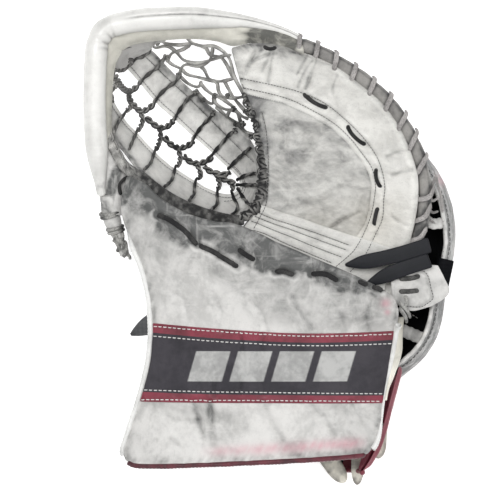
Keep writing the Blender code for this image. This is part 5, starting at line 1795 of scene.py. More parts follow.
strip_z = z[:, None] + 1.5 + 1.6 * (1 - w[None] ** 2) + 0.7 * wander(x, y, 5, 3, seed=161) + 2.2 * w[None]
strip_grid = np.concatenate([strip_plan, strip_z[..., None]], axis=-1)
dark_part = smooth((t - 0.18) / 0.25)[:, None]
tone_and_highlight = 0.62 - 0.54 * dark_part + (0.42 - 0.24 * dark_part) * wander(x, y, 3, 3, seed=165)
edge_strip = thick_sheet("thumb_edge_strip", strip_grid, 2.4, NET_LACE,
                         {"tone_and_highlight": np.clip(tone_and_highlight, 0.02, 0.95), "dirt_and_shade": 0 * tone_and_highlight}, rounding=0.9)
blend_to_thumb(edge_strip)
chunks = []
for share, width in ((-1.02, 1.5), (1.02, 1.7)):
    border = np.column_stack([p + out * (half * share)[:, None], z + 1.4 + 2.2 * share])
    border[:, 2] += 0.5 * np.sin(np.arange(len(p)) * 0.5)
    chunks.append(sweep(smooth_line(border, 2), width, width * 0.8, sides=10))
at = 3
while at < len(p) - 6:
    span = random.randint(5, 11)
    i, k = at, min(len(p) - 2, at + span)
    lean = random.choice([-1, 1])
    height = 3.4
    first = p[i] - out[i] * half[i] * 0.9 * lean
    last = p[k] + out[k] * half[k] * 0.9 * lean
    chunks.append(sweep(resample([np.array([*first, z[i] + 1.4 - 2.0 * lean]),
                                  np.array([*((first + last) / 2), (z[i] + z[k]) / 2 + height]),
                                  np.array([*last, z[k] + 1.4 + 2.0 * lean])], 0.9),
                        random.uniform(1.3, 2.3), 1.3, sides=10))
    at += random.randint(4, 7)
for start_at in (6, 14, 24, 33, 41):
    base = p[start_at]
    ahead = (p[start_at + 3] - base) / np.linalg.norm(p[start_at + 3] - base)
    out = np.array([ahead[1], -ahead[0]])
    height = z[start_at] + 4.0
    ring = [np.array([*(base - out * 3), height - 3]), np.array([*(base + ahead * 2 + out * 1), height]),
            np.array([*(base + ahead * 8 + out * 3.4), height + 0.6]),
            np.array([*(base + ahead * 13 + out * 0.6), height]),
            np.array([*(base + ahead * 10 - out * 3.6), height - 0.6]),
            np.array([*(base + ahead * 4 - out * 3.4), height - 2.0])]
    chunks.append(sweep(resample(ring, 0.9), 2.2, 1.7, sides=10))
thumb_binding = lace_object("thumb_edge_binding", chunks, 10, blend_to_thumb)
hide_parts("thumb_side_lacing")

# ---------------------------------------------------------------- hand opening

wall_foot = curve([(138, 78), (148, 64), (156, 48), (160.5, 32), (162, 14), (160.5, -7), (154, -40),
                   (150.5, -64), (144, -83), (131.5, -100), (113, -115)])


def beside_plan(edge, t, amount):
    t = np.asarray(t, float)
    step = 0.005
    ahead = edge(np.clip(t + step, 0, 1)) - edge(np.clip(t - step, 0, 1))
    side = np.stack([-ahead[:, 1], ahead[:, 0]], axis=1)
    side /= np.linalg.norm(side, axis=1)[:, None]
    return edge(t) + side * np.broadcast_to(np.asarray(amount, float), t.shape)[:, None]


def side_wall_grid(t, s):
    foot = wall_foot(t)
    top = beside_plan(wall_foot, t, -11.0 + 2.4 * bell(t - 0.40, 0.12))
    s = s[:, None, None]
    plan = lerp(foot[None], top[None], s)
    z = lerp(9.0, lerp(70, 52, t)[None], s[..., 0])
    return np.concatenate([plan, z[..., None]], axis=-1)


t = np.linspace(0.0, 1.0, 220)
s = np.linspace(0.0, 1.0, 46)
wall = side_wall_grid(t, s)
facing = grid_facing(wall)
if facing[20, 100, 0] < 0:
    facing = -facing
run_t = t[None] * 220
puff = 1.2 * np.sin(np.pi * s[:, None]) ** 0.6 + 0.5 * wander(run_t + 0 * s[:, None], 50 * s[:, None]
                                                             + 0 * run_t, 18, 3, seed=201)
puff = puff - 0.9 * bell((s[:, None] - 0.90) * 60, 1.4)
wall = wall + facing * puff[..., None]
x, y = wall[..., 0], wall[..., 1]
cloud = wander(run_t + 0 * s[:, None], 60 * s[:, None] + 0 * run_t, 16, 4, seed=203)
fine = wander(run_t + 0 * s[:, None], 60 * s[:, None] + 0 * run_t, 5, 3, seed=204)
# the last term is painted shade in the groove below the bound top edge
dirt_and_shade = 0.76 + 0.17 * cloud + 0.14 * fine + 0.35 * bell((s[:, None] - 0.90) * 60, 2.0)
dirt_and_shade = dirt_and_shade + 0.25 * bell((s[:, None] - 0.45) * 60, 6.0) * smooth((run_t - 20) / 30)
pink = bell(run_t - 23, 6) * smooth((0.8 - s[:, None]) / 0.3) * (0.6 + 0.4 * fine)
side_wall = thick_sheet("side_wall_skin", wall, 4.0, WHITE,
                        {"dirt_and_shade": np.clip(dirt_and_shade, 0, 0.92), "blush": np.clip(0.5 * pink, 0, 0.6)},
                        rounding=0.9)
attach(side_wall, "palm_hand")
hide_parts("side_wall")

# its top edge is bound, and a second row of stitches follows it
top_line = wall[-1] + np.array([0, 0, 0.8])
binding = sweep(top_line, 5.2, 3.4, up=facing[-1], sides=12,
                scale=1 + 0.05 * wander(run_t[0], 0 * run_t[0], 6, 2, seed=206))
row = wall[-7] + facing[-7] * 2.0
chunks = [binding]
rim = make("side_wall_binding", chunks, WHITE,
           {"dirt_and_shade": np.clip(0.18 + 0.3 * wander(binding[0][:, 0], binding[0][:, 1], 9, 3, seed=207), 0,
                            0.8)})
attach(rim, "palm_hand")
chunks = sewn(row, facing[-7], lift=0.4)
chunks += sewn(wall[-1] + np.array([0, 0, 2.3]) - facing[-1] * 0.8, np.tile([0, 0, 1.0], (220, 1)),
               length=2.2, gap=1.6, thread=0.8, lift=0.4)
wall_thread = make("side_wall_stitches", chunks, THREAD_DARK)
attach(wall_thread, "palm_hand")

# keeper: a wide band of webbing looped over the wall
t = np.linspace(0.450, 0.575, 30)
band_rows = []
for share, out, rise in ((0.02, 2.4, 0), (0.25, 3.4, 0), (0.5, 3.8, 0), (0.75, 3.8, 0), (0.93, 3.6, 0.6),
                         (1.0, 2.8, 2.8), (1.03, 0.4, 3.6), (1.0, -2.2, 3.2), (0.94, -3.8, 1.4)):
    grid = side_wall_grid(t, np.array([share]))[0]
    face = grid_facing(side_wall_grid(t, np.array([0.4, 0.5, 0.6])))[1]
    if face[10, 0] < 0:
        face = -face
    band_rows.append(grid + face * out + np.array([0, 0, rise]))
keeper_at = [curve(np.array(band_rows)[:, j]) for j in range(len(t))]
keeper = np.stack([at(np.linspace(0, 1, 40)) for at in keeper_at], axis=1)
keeper_skin = thick_sheet("side_wall_keeper_skin", keeper, 1.9, WEBBING, rounding=0.7)
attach(keeper_skin, "palm_hand")
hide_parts("side_wall_keeper")

# heel tab, laced down at the palm with two dark dashes
tab_left = curve([(107, -46), (106, -30), (107, -15)])
tab_right = curve([(139, -50.5), (150, -44), (154.5, -38), (150, -27), (145, -17)])
tab_foot = curve([(107, -46), (122, -54), (139, -50.5)])
tab_head = curve([(107, -15), (145, -17)])
tab_plan = between(tab_left, tab_right, tab_foot, tab_head)
v, u = np.meshgrid(np.linspace(0, 1, 70), np.linspace(0, 1, 70), indexing="ij")
plan = tab_plan(u, v)
x, y = plan[..., 0], plan[..., 1]
TAB_SEAM = [(114.4, -50.7), (129, -51.6), (135.9, -48.2), (140.2, -43.9), (138.5, -35.3),
            (135.9, -24.9), (131.6, -20.6), (120.4, -19.8)]
TAB_DASHES = [[(110.9, -27.5), (120.4, -27.1), (129, -24.9)],
              [(110.9, -38.3), (119.5, -38.3), (128.1, -37.4)]]
z = 79.6 - 5 * u**2 + 0.5 * wander(x, y, 14, 2, seed=211)
seam, _ = distance_to(plan, resample(TAB_SEAM, 2.0))
z = z - 0.7 * bell(seam, 1.3)
for line in TAB_DASHES:
    d, _ = distance_to(plan, resample(line, 2.0))
    z = z - 1.2 * bell(d, 2.4)
grid = np.concatenate([plan, z[..., None]], axis=-1)
dirt_and_shade = 0.06 + 0.16 * np.clip(wander(x, y, 14, 3, seed=213), -0.2, 1) + 0.2 * bell(seam, 1.0)
dirt_and_shade = dirt_and_shade + 0.35 * bell(x - 113, 3.0) * smooth((-32 - y) / 8)
tab = panel("heel_tab_skin", grid, 2.9, WHITE, {"dirt_and_shade": np.clip(dirt_and_shade, 0, 0.85)}, lip=1.2)
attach(tab, "palm_hand")
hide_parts("heel_tab")
TAB_SEEN = Seen(grid)
tab_thread = make("heel_tab_stitches", stitches(TAB_SEEN, TAB_SEAM, 1.9, 0.7, 0.62), THREAD_DARK)
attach(tab_thread, "palm_hand")
chunks = [lace_dash(TAB_SEEN, line, width=4.2, thick=2.6, lift=1.1, sink=2.2) for line in TAB_DASHES]
for line in ([(111.5, -47.5, 88), (114.5, -50.5, 90), (119, -56, 86), (121.5, -61, 78)],
             [(111.5, -52.5, 88), (113.5, -55, 90), (117, -60, 86), (118.5, -65, 78)],
             [(117, -42, 84), (118, -48, 86), (115, -54, 88)]):
    chunks.append(sweep(resample(line, 0.9), 3.6, 2.6, sides=10, twist=0.05))
tab_lace = make("heel_tab_lace", chunks, MIXED_LACE,
                {"dirt_and_shade": np.concatenate([np.full(len(c[0]), 0.75 if k < 2 else 0.1) for k,
                                         c in enumerate(chunks)])})
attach(tab_lace, "palm_hand")

# two short bands of leather that cross the opening
for name, node, points, width in (
        ("opening_band_upper_skin", "opening_band_upper",
         [(133, 27, 66), (140, 20.5, 67), (151, 21, 64)], 9.5),
        ("opening_band_lower_skin", "opening_band_lower",
         [(111, -71, 42), (120, -74.5, 43), (132, -79.5, 44)],
         11.0)):
    line = resample(points, 0.8)
    fold = 1 + 0.06 * np.sin(np.arange(len(line)) * 0.9)
    chunk = sweep(line, width, 4.2, sides=16, scale=fold, pointed=False)
    x, y = chunk[0][:, 0], chunk[0][:, 1]
    obj = make(name, [chunk], WHITE, {"dirt_and_shade": np.clip(0.2 + 0.3 * wander(x, y, 6, 3, seed=215), 0, 0.8)})
    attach(obj, "palm_hand")
    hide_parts(node)
line = resample([(111, -49, 24), (120, -56, 24), (131, -63, 24)], 0.8)
bits = sewn(line, np.tile([0, 0, 1.0], (len(line), 1)), 2.2, 1.3, 0.8, 0.3)
band_thread = make("hand_lining_stitches", bits, THREAD_WHITE)
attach(band_thread, "palm_hand")

# black lining seen through the opening below the heel tab
t = np.linspace(0.06, 0.985, 110)
outer_line = beside_plan(wall_foot, t, -4.5)
beside = lerp(105.5, outer_line[:, 0] - 20, smooth((outer_line[:, 1] + 50) / 12))
inner_line = np.column_stack([np.minimum(beside, outer_line[:, 0] - 3), outer_line[:, 1]])
grid = lerp(inner_line[None], outer_line[None], np.linspace(0, 1, 50)[:, None, None])
x, y = grid[..., 0], grid[..., 1]
grid = np.concatenate([grid, (18.5 + 0.6 * wander(x, y, 12, 3, seed=231))[..., None]], axis=-1)
lining = thick_sheet("hand_lining_skin", grid, 2.0, MESH, rounding=0.8)
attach(lining, "palm_hand")

# thin laces from the perimeter roll down into the opening
chunks = []
for line in ([(143.6, 61, 84), (140, 53, 84), (137.5, 46, 82), (140, 41, 80)],
             [(143.6, 61, 84), (145, 54, 83), (147.5, 46, 80), (149, 38, 76), (150, 30, 72)],
             [(137, 44, 82), (141, 40, 80), (146, 43, 80)],
             [(137, 34, 76), (141, 30, 74), (146, 31, 72)],
             [(134, 30, 76), (138, 24, 72), (143, 21, 71)]):
    chunks.append(sweep(resample(line, 0.9), 2.8, 2.0, sides=10, twist=0.12))
hand_lace = make("hand_opening_lace", chunks, GREY_LACE,
                 {"dirt_and_shade": np.concatenate([np.full(len(c[0]), 0.25) for c in chunks])})
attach(hand_lace, "palm_hand")

# ---------------------------------------------------------------- strap tails


def strap_tail(name, node, body, root, tip, width, thick, point_share, material, bow=0.0,
               sway=0.0, ribs=0.0):
    """A strap with softened edges that runs to a point."""
    root, tip = np.array(root, float), np.array(tip, float)
    side = np.cross(tip - root, (0, 0, 1.0))
    side /= np.linalg.norm(side)
    t = np.linspace(0, 1, 90)
    w = np.linspace(-1, 1, 22)
    left = (1 - t) / point_share
    half = width / 2 * np.where(left >= 1, 1.0, 0.05 + 0.95 * np.sin(np.clip(left, 0,
                                                                             1) * np.pi / 2) ** 0.9)
    line = lerp(root[None], tip[None], t[:, None])
    line[:, 1] += sway * np.sin(np.pi * t)
    line[:, 2] += bow * np.sin(np.pi * t)
    grid = line[:, None] + side[None, None] * (half[:, None] * w[None])[..., None]
    grid[..., 2] += 0.35 * (1 - w[None] ** 2)
    if ribs:
        grid[..., 2] += ribs * np.sin(w[None] * width / 2 * 2 * np.pi / 1.5)
    obj = thick_sheet(name, grid, thick, material, rounding=0.8, angle=45)
    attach(obj, body)
    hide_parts(node)
    return obj


strap_tail("palm_strap_upper_skin", "palm_strap_tail_upper", "upper_strap_tail", (137.3, 1.6, 84.2),
           (66, -15.5, 79.2), 11.3, 2.4, 0.30, STRAP, bow=1.5, sway=-1.9)
strap_tail("palm_strap_lower_skin", "palm_strap_tail_lower", "lower_strap_tail", (137.4, -11.6, 82.8),
           (83.6, -32.3, 78.8), 11.5, 2.4, 0.40, STRAP, bow=1.5, sway=1.4)
strap_tail("wrist_strap_tail_skin", "wrist_strap_tail", "wrist_strap_tail", (-94, -62, 63),
           (-120.5, -76, 60), 16, 1.9, 0.75, RIBBED, ribs=0.18)

# ---------------------------------------------------------------- lacing at the thumb's tip

STEM = [(-139.5, 45, 87), (-138.5, 36, 85), (-138, 29, 83), (-135.7, 21.5, 81), (-133.5, 15, 79.5),
        (-130.5, 6, 77.5), (-128, -2.5, 76), (-126.5, -8, 75)]
stem_line = resample(STEM, 0.8)
t = np.linspace(0, 1, len(stem_line))
swell = lerp(1.0, 0.42, smooth((t - 0.35) / 0.65)) * (1 + 0.05 * wander(stem_line[:, 0],
                                                                        stem_line[:, 1], 6, 2, seed=221))
for at in (0.305, 0.56):
    swell = swell - 0.12 * bell(t - at, 0.035)
stem_skin = sweep(stem_line, 14.8, 9.6, sides=26, scale=swell)
x, y = stem_skin[0][:, 0], stem_skin[0][:, 1]
dirt_and_shade = 0.16 + 0.75 * np.clip(wander(x, y, 5, 3, seed=222, stretch=(1.6, 0.6), turn=-1.0), 0, 1)
# painted shade on the stem's right side
dirt_and_shade = dirt_and_shade + 0.35 * smooth((x - np.interp(y, stem_line[::-1, 1], stem_line[::-1, 0]) - 3) / 3)
stem = make("thumb_tip_core", [stem_skin], WHITE, {"dirt_and_shade": np.clip(dirt_and_shade, 0, 0.9)})
blend_to_thumb(stem)
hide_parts("thumb_tip_lacing")


def band_round(centre, index, wide, tall, width, thick, lean):
    """A flat lace wound once round a strand, a little aslant."""
    middle = centre[index]
    ahead = centre[index + 3] - centre[index - 3]
    ahead /= np.linalg.norm(ahead)
    side = np.cross(ahead, (0, 0, 1.0))
    side /= np.linalg.norm(side)
    above = np.cross(side, ahead)
    a = np.linspace(-0.25, 2 * math.pi - 0.15, 60)
    line = (middle + np.cos(a)[:, None] * side * wide + np.sin(a)[:, None] * above * tall
            + np.cos(a)[:, None] * ahead * lean)
    return sweep(line, width, thick, up=line - middle, sides=12)


chunks, dirt_and_shade = [], []
for place, wide, tall, lean in ((0.28, 8.9, 6.0, 0.4), (0.33, 8.5, 5.8, 0.4), (0.54, 7.3, 5.2, -0.5),
                                (0.585, 6.9, 4.9, -0.5)):
    band = band_round(stem_line, int(place * len(stem_line)), wide, tall, 2.8, 2.2, lean)
    middle = stem_line[int(place * len(stem_line))]
    chunks.append(band)
    # painted shade on the right half of each wrap
    dirt_and_shade.append(0.10 + 0.80 * smooth((band[0][:, 0] - middle[0] - 2.5) / 4.0))
random = np.random.RandomState(11)
for k in range(13):
    at = int(lerp(0.66, 0.99, k / 12) * (len(stem_line) - 1))
    base = stem_line[at] + np.array([random.uniform(-4.0, 4.0), random.uniform(-2.0, 2.0), 3.0])
    spin = -1.1 + random.uniform(-0.7, 0.7)
    arm = np.array([math.cos(spin), math.sin(spin), 0]) * random.uniform(2.6, 4.6)
    out = np.array([-arm[1], arm[0], 0]) * random.uniform(0.2, 0.5)
    bend = [base - arm - [0, 0, 1.6], base - arm * 0.4 + out + [0, 0, 0.8],
            base + arm * 0.5 + out + [0, 0, 0.9],
            base + arm - [0, 0, 1.4]]
    piece = sweep(resample(bend, 0.8), random.uniform(2.6, 3.6), 2.2, sides=12)
    chunks.append(piece)
    dirt_and_shade.append(np.clip(0.12 + 0.5 * wander(piece[0][:, 0], piece[0][:, 1], 4, 2, seed=225), 0, 0.8))
cord = sweep(resample([(-122.5, 60.5, 92), (-127, 57.5, 93), (-129.8, 53, 93), (-128.8, 45, 91)], 0.8),
             3.2, 2.6,
             sides=12, twist=0.2)
chunks.append(cord)
dirt_and_shade.append(np.full(len(cord[0]), 0.96))
tip_lace = make("thumb_tip_lace", chunks, MIXED_LACE, {"dirt_and_shade": np.clip(np.concatenate(dirt_and_shade), 0, 1)})
blend_to_thumb(tip_lace)

# ---------------------------------------------------------------- back of the hand


def soft_block(name, low, high, material, crown=0.0, cells=30, power=4.0, channels=()):
    """A block with rounded, pulled-in sides: a superellipse outline lofted between two faces."""
    low, high = np.array(low, float), np.array(high, float)
    centre, half = (low + high) / 2, (high - low) / 2
    n_side = 140
    a = np.linspace(0, 2 * np.pi, n_side, endpoint=False)
    c, s = np.cos(a), np.sin(a)
    outline = np.stack([np.sign(c) * np.abs(c) ** (2 / power), np.sign(s) * np.abs(s) ** (2 / power)],
                       axis=1)
    rings = []
    for b in np.linspace(-np.pi / 2, np.pi / 2, cells)[1:-1]:
        inset = np.abs(np.cos(b)) ** 0.35
        rings.append((inset, np.sign(np.sin(b)) * np.abs(np.sin(b)) ** 0.6))
    verts, faces = [], []
    for inset, height in rings:
        plan = centre[:2] + outline * half[:2] * (1 - (1 - inset) * 0.28)
        z = np.full(n_side, centre[2] + height * half[2])
        verts.append(np.column_stack([plan, z]))
    verts = np.vstack(verts)
    faces = grid_faces(len(rings), n_side, wrap=True).tolist()
    # the two faces are closed by shrinking rings down to the middle
    start_low, start_high = 0, (len(rings) - 1) * n_side
    fill = []
    count = len(verts)
    for start, sign, in ((start_low, -1), (start_high, 1)):
        edge = verts[start:start + n_side]
        middle = edge.mean(axis=0)
        previous = start + np.arange(n_side)
        for k in range(1, 16):
            share = k / 15.0 * 0.985
            ring = lerp(edge, middle, share)
            bump = crown * sign * smooth(share * 1.6)
            ring = ring + np.array([0, 0, 1.0]) * bump
            fill.append(ring)
            now = count + np.arange(n_side)
            faces += np.stack([previous, np.roll(previous, -1), np.roll(now, -1), now], axis=1).tolist()
            previous = now
            count += n_side
        faces.append(previous.tolist())
    verts = np.vstack([verts] + fill)
    for line, depth, width in channels:
        d, _ = distance_to(verts[:, :2], np.array(line, float))
        towards = np.sign(verts[:, 2] - centre[2])
        verts[:, 2] -= towards * depth * bell(d, width)
    return make(name, [(verts, faces)], material)


def puffed(obj, pressure=4.0, cap=3.0, voxel=4.0):
    """The piece filled with air by a cloth simulation, its points held within cap of where they were."""
    before = obj.data.copy()
    modifier = obj.modifiers.new("remesh", "REMESH")
    modifier.mode = "VOXEL"
    modifier.voxel_size = voxel * MM
    modifier.use_smooth_shade = True
    settle(obj)
    start = np.array([vertex.co for vertex in obj.data.vertices])
    cloth = obj.modifiers.new("cloth", "CLOTH")
    cloth.settings.use_pressure = True
    cloth.settings.uniform_pressure_force = pressure
    cloth.settings.effector_weights.gravity = 0.0
    cloth.settings.tension_stiffness = 15
    cloth.settings.compression_stiffness = 15
    cloth.settings.bending_stiffness = 2.0
    cloth.settings.mass = 0.3
    scene = bpy.context.scene
    for frame_number in range(1, 21):
        scene.frame_set(frame_number)
    settle(obj)
    scene.frame_set(1)
    now = np.array([vertex.co for vertex in obj.data.vertices])
    if len(now) == len(start):
        move = now - start
        size = np.linalg.norm(move, axis=1)[:, None] + 1e-12
        now = start + move * np.minimum(1.0, cap * MM / size)
        obj.data.vertices.foreach_set("co", now.astype(np.float32).ravel())
    smoother = obj.modifiers.new("finer", "SUBSURF")
    smoother.levels = smoother.render_levels = 1
    settle(obj)
    obj.data.shade_smooth()
    bpy.data.meshes.remove(before)
    return obj


def pressed(obj, lines, depth, width, low=None, high=None):
    """Sewn channels pushed into a puffed piece along plan lines, and its height kept in bounds."""
    points = np.array([vertex.co for vertex in obj.data.vertices]) / MM
    normals = np.array([vertex.normal for vertex in obj.data.vertices])
    for line in lines:
        d, _ = distance_to(points[:, :2], np.array(line, float))
        points -= normals * (depth * bell(d, width))[:, None]
    if low is not None:
        points[:, 2] = np.maximum(points[:, 2], low)
    if high is not None:
        points[:, 2] = np.minimum(points[:, 2], high)
    obj.data.vertices.foreach_set("co", (points * MM).astype(np.float32).ravel())
    obj.data.update()
    return obj


def mark_dirt_and_shade(obj, seed, base=0.15, amount=0.3, size=16, lines=()):
    """Grime marks written on a finished mesh, with painted shade along the given lines."""
    points = np.array([vertex.co for vertex in obj.data.vertices]) / MM
    x, y = points[:, 0] + 0.6 * points[:, 2], points[:, 1] + 0.4 * points[:, 2]
    dirt_and_shade = base + amount * wander(x, y, size, 4,
                                  seed=seed) + 0.3 * amount * wander(x, y, size / 4, 2, seed=seed + 3)
    # painted shade in the sewn channels
    for line in lines:
        d, _ = distance_to(points[:, :2], np.array(line, float))
        dirt_and_shade = dirt_and_shade + 0.35 * bell(d, 1.6)
    layer = obj.data.attributes.get("dirt_and_shade") or obj.data.attributes.new("dirt_and_shade", "FLOAT", "POINT")
    layer.data.foreach_set("value", np.clip(dirt_and_shade, 0, 0.9).astype(np.float32))
    return obj


PAD_CHANNELS = [[(45, -40), (48, 34)], [(71, -41), (72, 35)], [(97, -40), (95, 34)]]
pad = soft_block("backhand_pad_skin", (21.5, -40.5, 1.5), (120.5, 34.5, 13.5), WHITE)
puffed(pad, pressure=4.0, cap=2.2)
pressed(pad, PAD_CHANNELS, 2.6, 2.6, low=0.0, high=15.1)
mark_dirt_and_shade(pad, 301, lines=PAD_CHANNELS)
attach(pad, "palm_hand")
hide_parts("backhand_pad")
plate = soft_block("backhand_plate_skin", (30, -34, 15.4), (112, 28, 18.4), BOARD, power=6.0, cells=14)
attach(plate, "palm_hand")
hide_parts("backhand_plate")
t, w = np.meshgrid(np.linspace(0, 1, 90), np.linspace(0, 1, 20), indexing="ij")
grid = np.stack([lerp(30.5, 130.5, t), lerp(-15.5, 11.5, w), 20.0 + 0.15 * np.sin(w * 60)], axis=-1)
strap = thick_sheet("backhand_strap_skin", grid, 2.0, WEBBING, rounding=0.8)
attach(strap, "palm_hand")
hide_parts("backhand_strap")

# finger backs: a padded shell with channels between the fingers
FINGER_CHANNELS = [0.27, 0.48, 0.70]


def finger_shell(u, v):
    plan = palm_plan(u, v)
    plain = palm_surface(u, v, detail=False)[..., 2]
    rise = 29 + 49 * np.abs(2 * u - 1) ** 8 + 40 * np.maximum(0.0, (v - 0.85) / 0.15) ** 2
    z = np.minimum(rise, plain - 13.2)
    return np.concatenate([plan, z[..., None]], axis=-1)


rows, columns = 110, 130
v, u = np.meshgrid(np.linspace(0.42, 0.985, rows), np.linspace(0.02, 0.985, columns), indexing="ij")
top = finger_shell(u, v)
puff = 0.0
for channel in FINGER_CHANNELS:
    puff = puff - 2.2 * bell((u - channel) * 130, 3.0)
for row in (0.62, 0.80):
    puff = puff - 1.6 * bell((v - row) * 120, 2.6)
edge = np.minimum(np.minimum(u - 0.02, 0.985 - u) * 130, np.minimum(v - 0.42, 0.985 - v) * 130)
puff = puff + 1.6 * smooth(edge / 9.0)
x, y = top[..., 0], top[..., 1]
under = top - np.array([0, 0, 5.0]) - np.array([0, 0, 1.0]) * puff[..., None]
# the last term is painted shade in the sewn channels, where the puff is pressed in
dirt_and_shade = 0.14 + 0.22 * wander(x, y, 18, 3, seed=311) - 0.10 * np.minimum(puff, 0)
verts = np.vstack([top.reshape(-1, 3), under.reshape(-1, 3)])
faces = closed_faces(rows, columns)
dirt_and_shade = np.clip(dirt_and_shade, 0, 0.85).ravel()
shell_skin = make("finger_back_skin", [(verts, faces)], WHITE, {"dirt_and_shade": np.concatenate([dirt_and_shade, dirt_and_shade])})
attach(shell_skin, "palm_hand")
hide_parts("finger_back_shell")
chunks = []
down = np.array([0, 0, -1.0])
for channel in FINGER_CHANNELS:
    j = int(round((channel - 0.02) / 0.965 * (columns - 1)))
    chunks += sewn(under.reshape(rows, columns, 3)[2:-2, j], np.tile(down, (rows - 4, 1)), 3.0, 1.5,
                   0.8, 0.1)
for row in (0.62, 0.80):
    i = int(round((row - 0.42) / 0.565 * (rows - 1)))
    chunks += sewn(under.reshape(rows, columns, 3)[i, 2:-2], np.tile(down, (columns - 4, 1)), 3.0, 1.5,
                   0.8, 0.1)
back_thread = make("finger_back_stitches", chunks, THREAD_DARK)
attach(back_thread, "palm_hand")


def thumb_shell(u, v):
    plan = cuff_plan(u, v)
    z = 67 + 14 * np.abs(2.6 * (u - 0.35)) ** 2.0
    return np.concatenate([plan, z[..., None]], axis=-1)


v, u = np.meshgrid(np.linspace(0.60, 0.88, 60), np.linspace(0.10, 0.56, 90), indexing="ij")
grid = thumb_shell(u, v) - np.array([0, 0, 2.0])
x, y = grid[..., 0], grid[..., 1]
edge = np.minimum(np.minimum(u - 0.10, 0.56 - u) * 210, np.minimum(v - 0.60, 0.88 - v) * 240)
grid[..., 2] -= 1.4 * smooth(edge / 8.0) - 1.2 * bell((u - 0.33) * 210, 2.4)
thumb_back = thick_sheet("thumb_back_skin", grid, 4.0, WHITE,
                         {"dirt_and_shade": np.clip(0.15 + 0.3 * wander(x, y, 16, 3, seed=321), 0, 0.85)},
                         rounding=0.9)
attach(thumb_back, "thumb_cuff")
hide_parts("thumb_back_shell")

for node in ("index_stall", "middle_stall", "ring_stall", "little_stall", "hand_liner", "thumb_stall"):
    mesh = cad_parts[node].data
    mesh.materials.clear()
    mesh.materials.append(MESH)

# ---------------------------------------------------------------- wrist

wrap_section = curve([(112, 51), (113, 38), (109, 24), (99, 12), (82, 6.5), (50, 6.5), (0, 6.5), (-40, 6.5),
                      (-64, 9.5), (-80, 18), (-90, 32)])


WRAP_ROUND = 300.0        # length round the wrist
WRAP_DEEP = 84.0          # from the upper rim to the lower rim


def wrap_grid(t, s):
    section = wrap_section(t)
    flap = smooth((section[:, 0] - 60) / 30)
    y = lerp((-112.0 + 11 * smooth((section[:, 0] - 98) / 12))[None], (-183.0 - 13 * flap)[None],
             s[:, None])
    right = np.maximum(0.0, section[None, :, 0] / 107)
    x = section[None, :, 0] + right * (0.25 * (y + 106) - 7.6 * np.clip((-158 - y) / 38, 0, 1) ** 2.2)
    z = np.maximum(section[None, :, 1], 6.5) + 0 * y
    return np.stack([x, y, z], axis=-1)


t = np.linspace(0, 1, 260)
s = np.linspace(0, 1, 80)
wrap = wrap_grid(t, s)
facing = grid_facing(wrap)
centre = np.array([10, -150, 60.0])
if ((wrap - centre) * facing).sum() < 0:
    facing = -facing
sv, tv = np.meshgrid(s, t, indexing="ij")
edge = np.minimum(np.minimum(sv, 1 - sv) * WRAP_DEEP, np.minimum(tv, 1 - tv) * WRAP_ROUND)
quilted = smooth((tv - 0.16) / 0.08)
pad_out = 0.6 + lerp(3.2, 5.6, quilted) * smooth(edge / 7.0)
for row in (0.30, 0.66):
    pad_out = pad_out - 1.6 * quilted * bell((sv - row) * WRAP_DEEP, 2.2)
for column in (0.30, 0.50, 0.70, 0.88):
    pad_out = pad_out - 1.4 * bell((tv - column) * WRAP_ROUND, 2.4)
pad_out = pad_out + 0.35 * wander(tv * WRAP_ROUND, sv * WRAP_DEEP, 17, 3, seed=331) * smooth(edge / 7.0)
outer = wrap + facing * pad_out[..., None]
outer[..., 2] = np.maximum(outer[..., 2], 0.0)
rows, columns = wrap.shape[:2]
verts = np.vstack([outer.reshape(-1, 3), wrap.reshape(-1, 3)])
faces = closed_faces(rows, columns)
dirt_and_shade = (0.10 + 0.25 * wander(tv * WRAP_ROUND, sv * WRAP_DEEP, 20, 3, seed=333)).ravel()
dirt_and_shade = np.clip(dirt_and_shade, 0, 0.8)
wrap_skin = make("wrist_wrap_skin", [(verts, faces)], BURGUNDY, {"dirt_and_shade": np.concatenate([dirt_and_shade, dirt_and_shade])})
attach(wrap_skin, "thumb_cuff")
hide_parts("wrist_wrap")
liner = wrap[2:, 62:-6] - facing[2:, 62:-6] * 1.6
liner_skin = thick_sheet("wrap_liner_skin", liner, 2.4, MESH, rounding=0.8)
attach(liner_skin, "thumb_cuff")
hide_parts("wrap_liner")
chunks = []
for row in (0.30, 0.66):
    i = int(round(row * (rows - 1)))
    chunks += sewn(outer[i, 60:-4], facing[i, 60:-4], 3.0, 1.5, 0.8, 0.15)
wrap_thread = make("wrist_wrap_stitches", chunks, THREAD_WHITE)
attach(wrap_thread, "thumb_cuff")

# piping round the wrap's lower rim
line = outer[-1] * 0.5 + wrap[-1] * 0.5 + np.array([0, -0.8, 0])
line[:, 2] = np.maximum(line[:, 2], 2.4)
wrap_pipe = make("wrist_wrap_piping", [sweep(smooth_line(line, 4), 4.4, 4.4, sides=12)], BURGUNDY,
                 {"dirt_and_shade": np.full(len(line) * 12, 0.15)})
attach(wrap_pipe, "thumb_cuff")

around = curve([(-84, -66, 58), (-91, -66, 40), (-87, -66, 16), (-68, -66, 4), (-20, -66, 2.2),
                (40, -66, 2.2),
                (86, -66, 4), (101, -66, 16), (103, -66, 36), (98, -66, 58)])
t, w = np.meshgrid(np.linspace(0, 1, 220), np.linspace(-0.5, 0.5, 18), indexing="ij")
grid = around(t.ravel()).reshape(t.shape + (3,)) + np.stack([0 * w, 24 * w, 0.1 * np.sin(w * 40)], axis=-1)
grid[..., 2] = np.maximum(grid[..., 2], 1.1)
strap = thick_sheet("wrist_strap_skin", grid, 1.9, WEBBING, rounding=0.8)
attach(strap, "thumb_cuff")
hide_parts("wrist_strap")


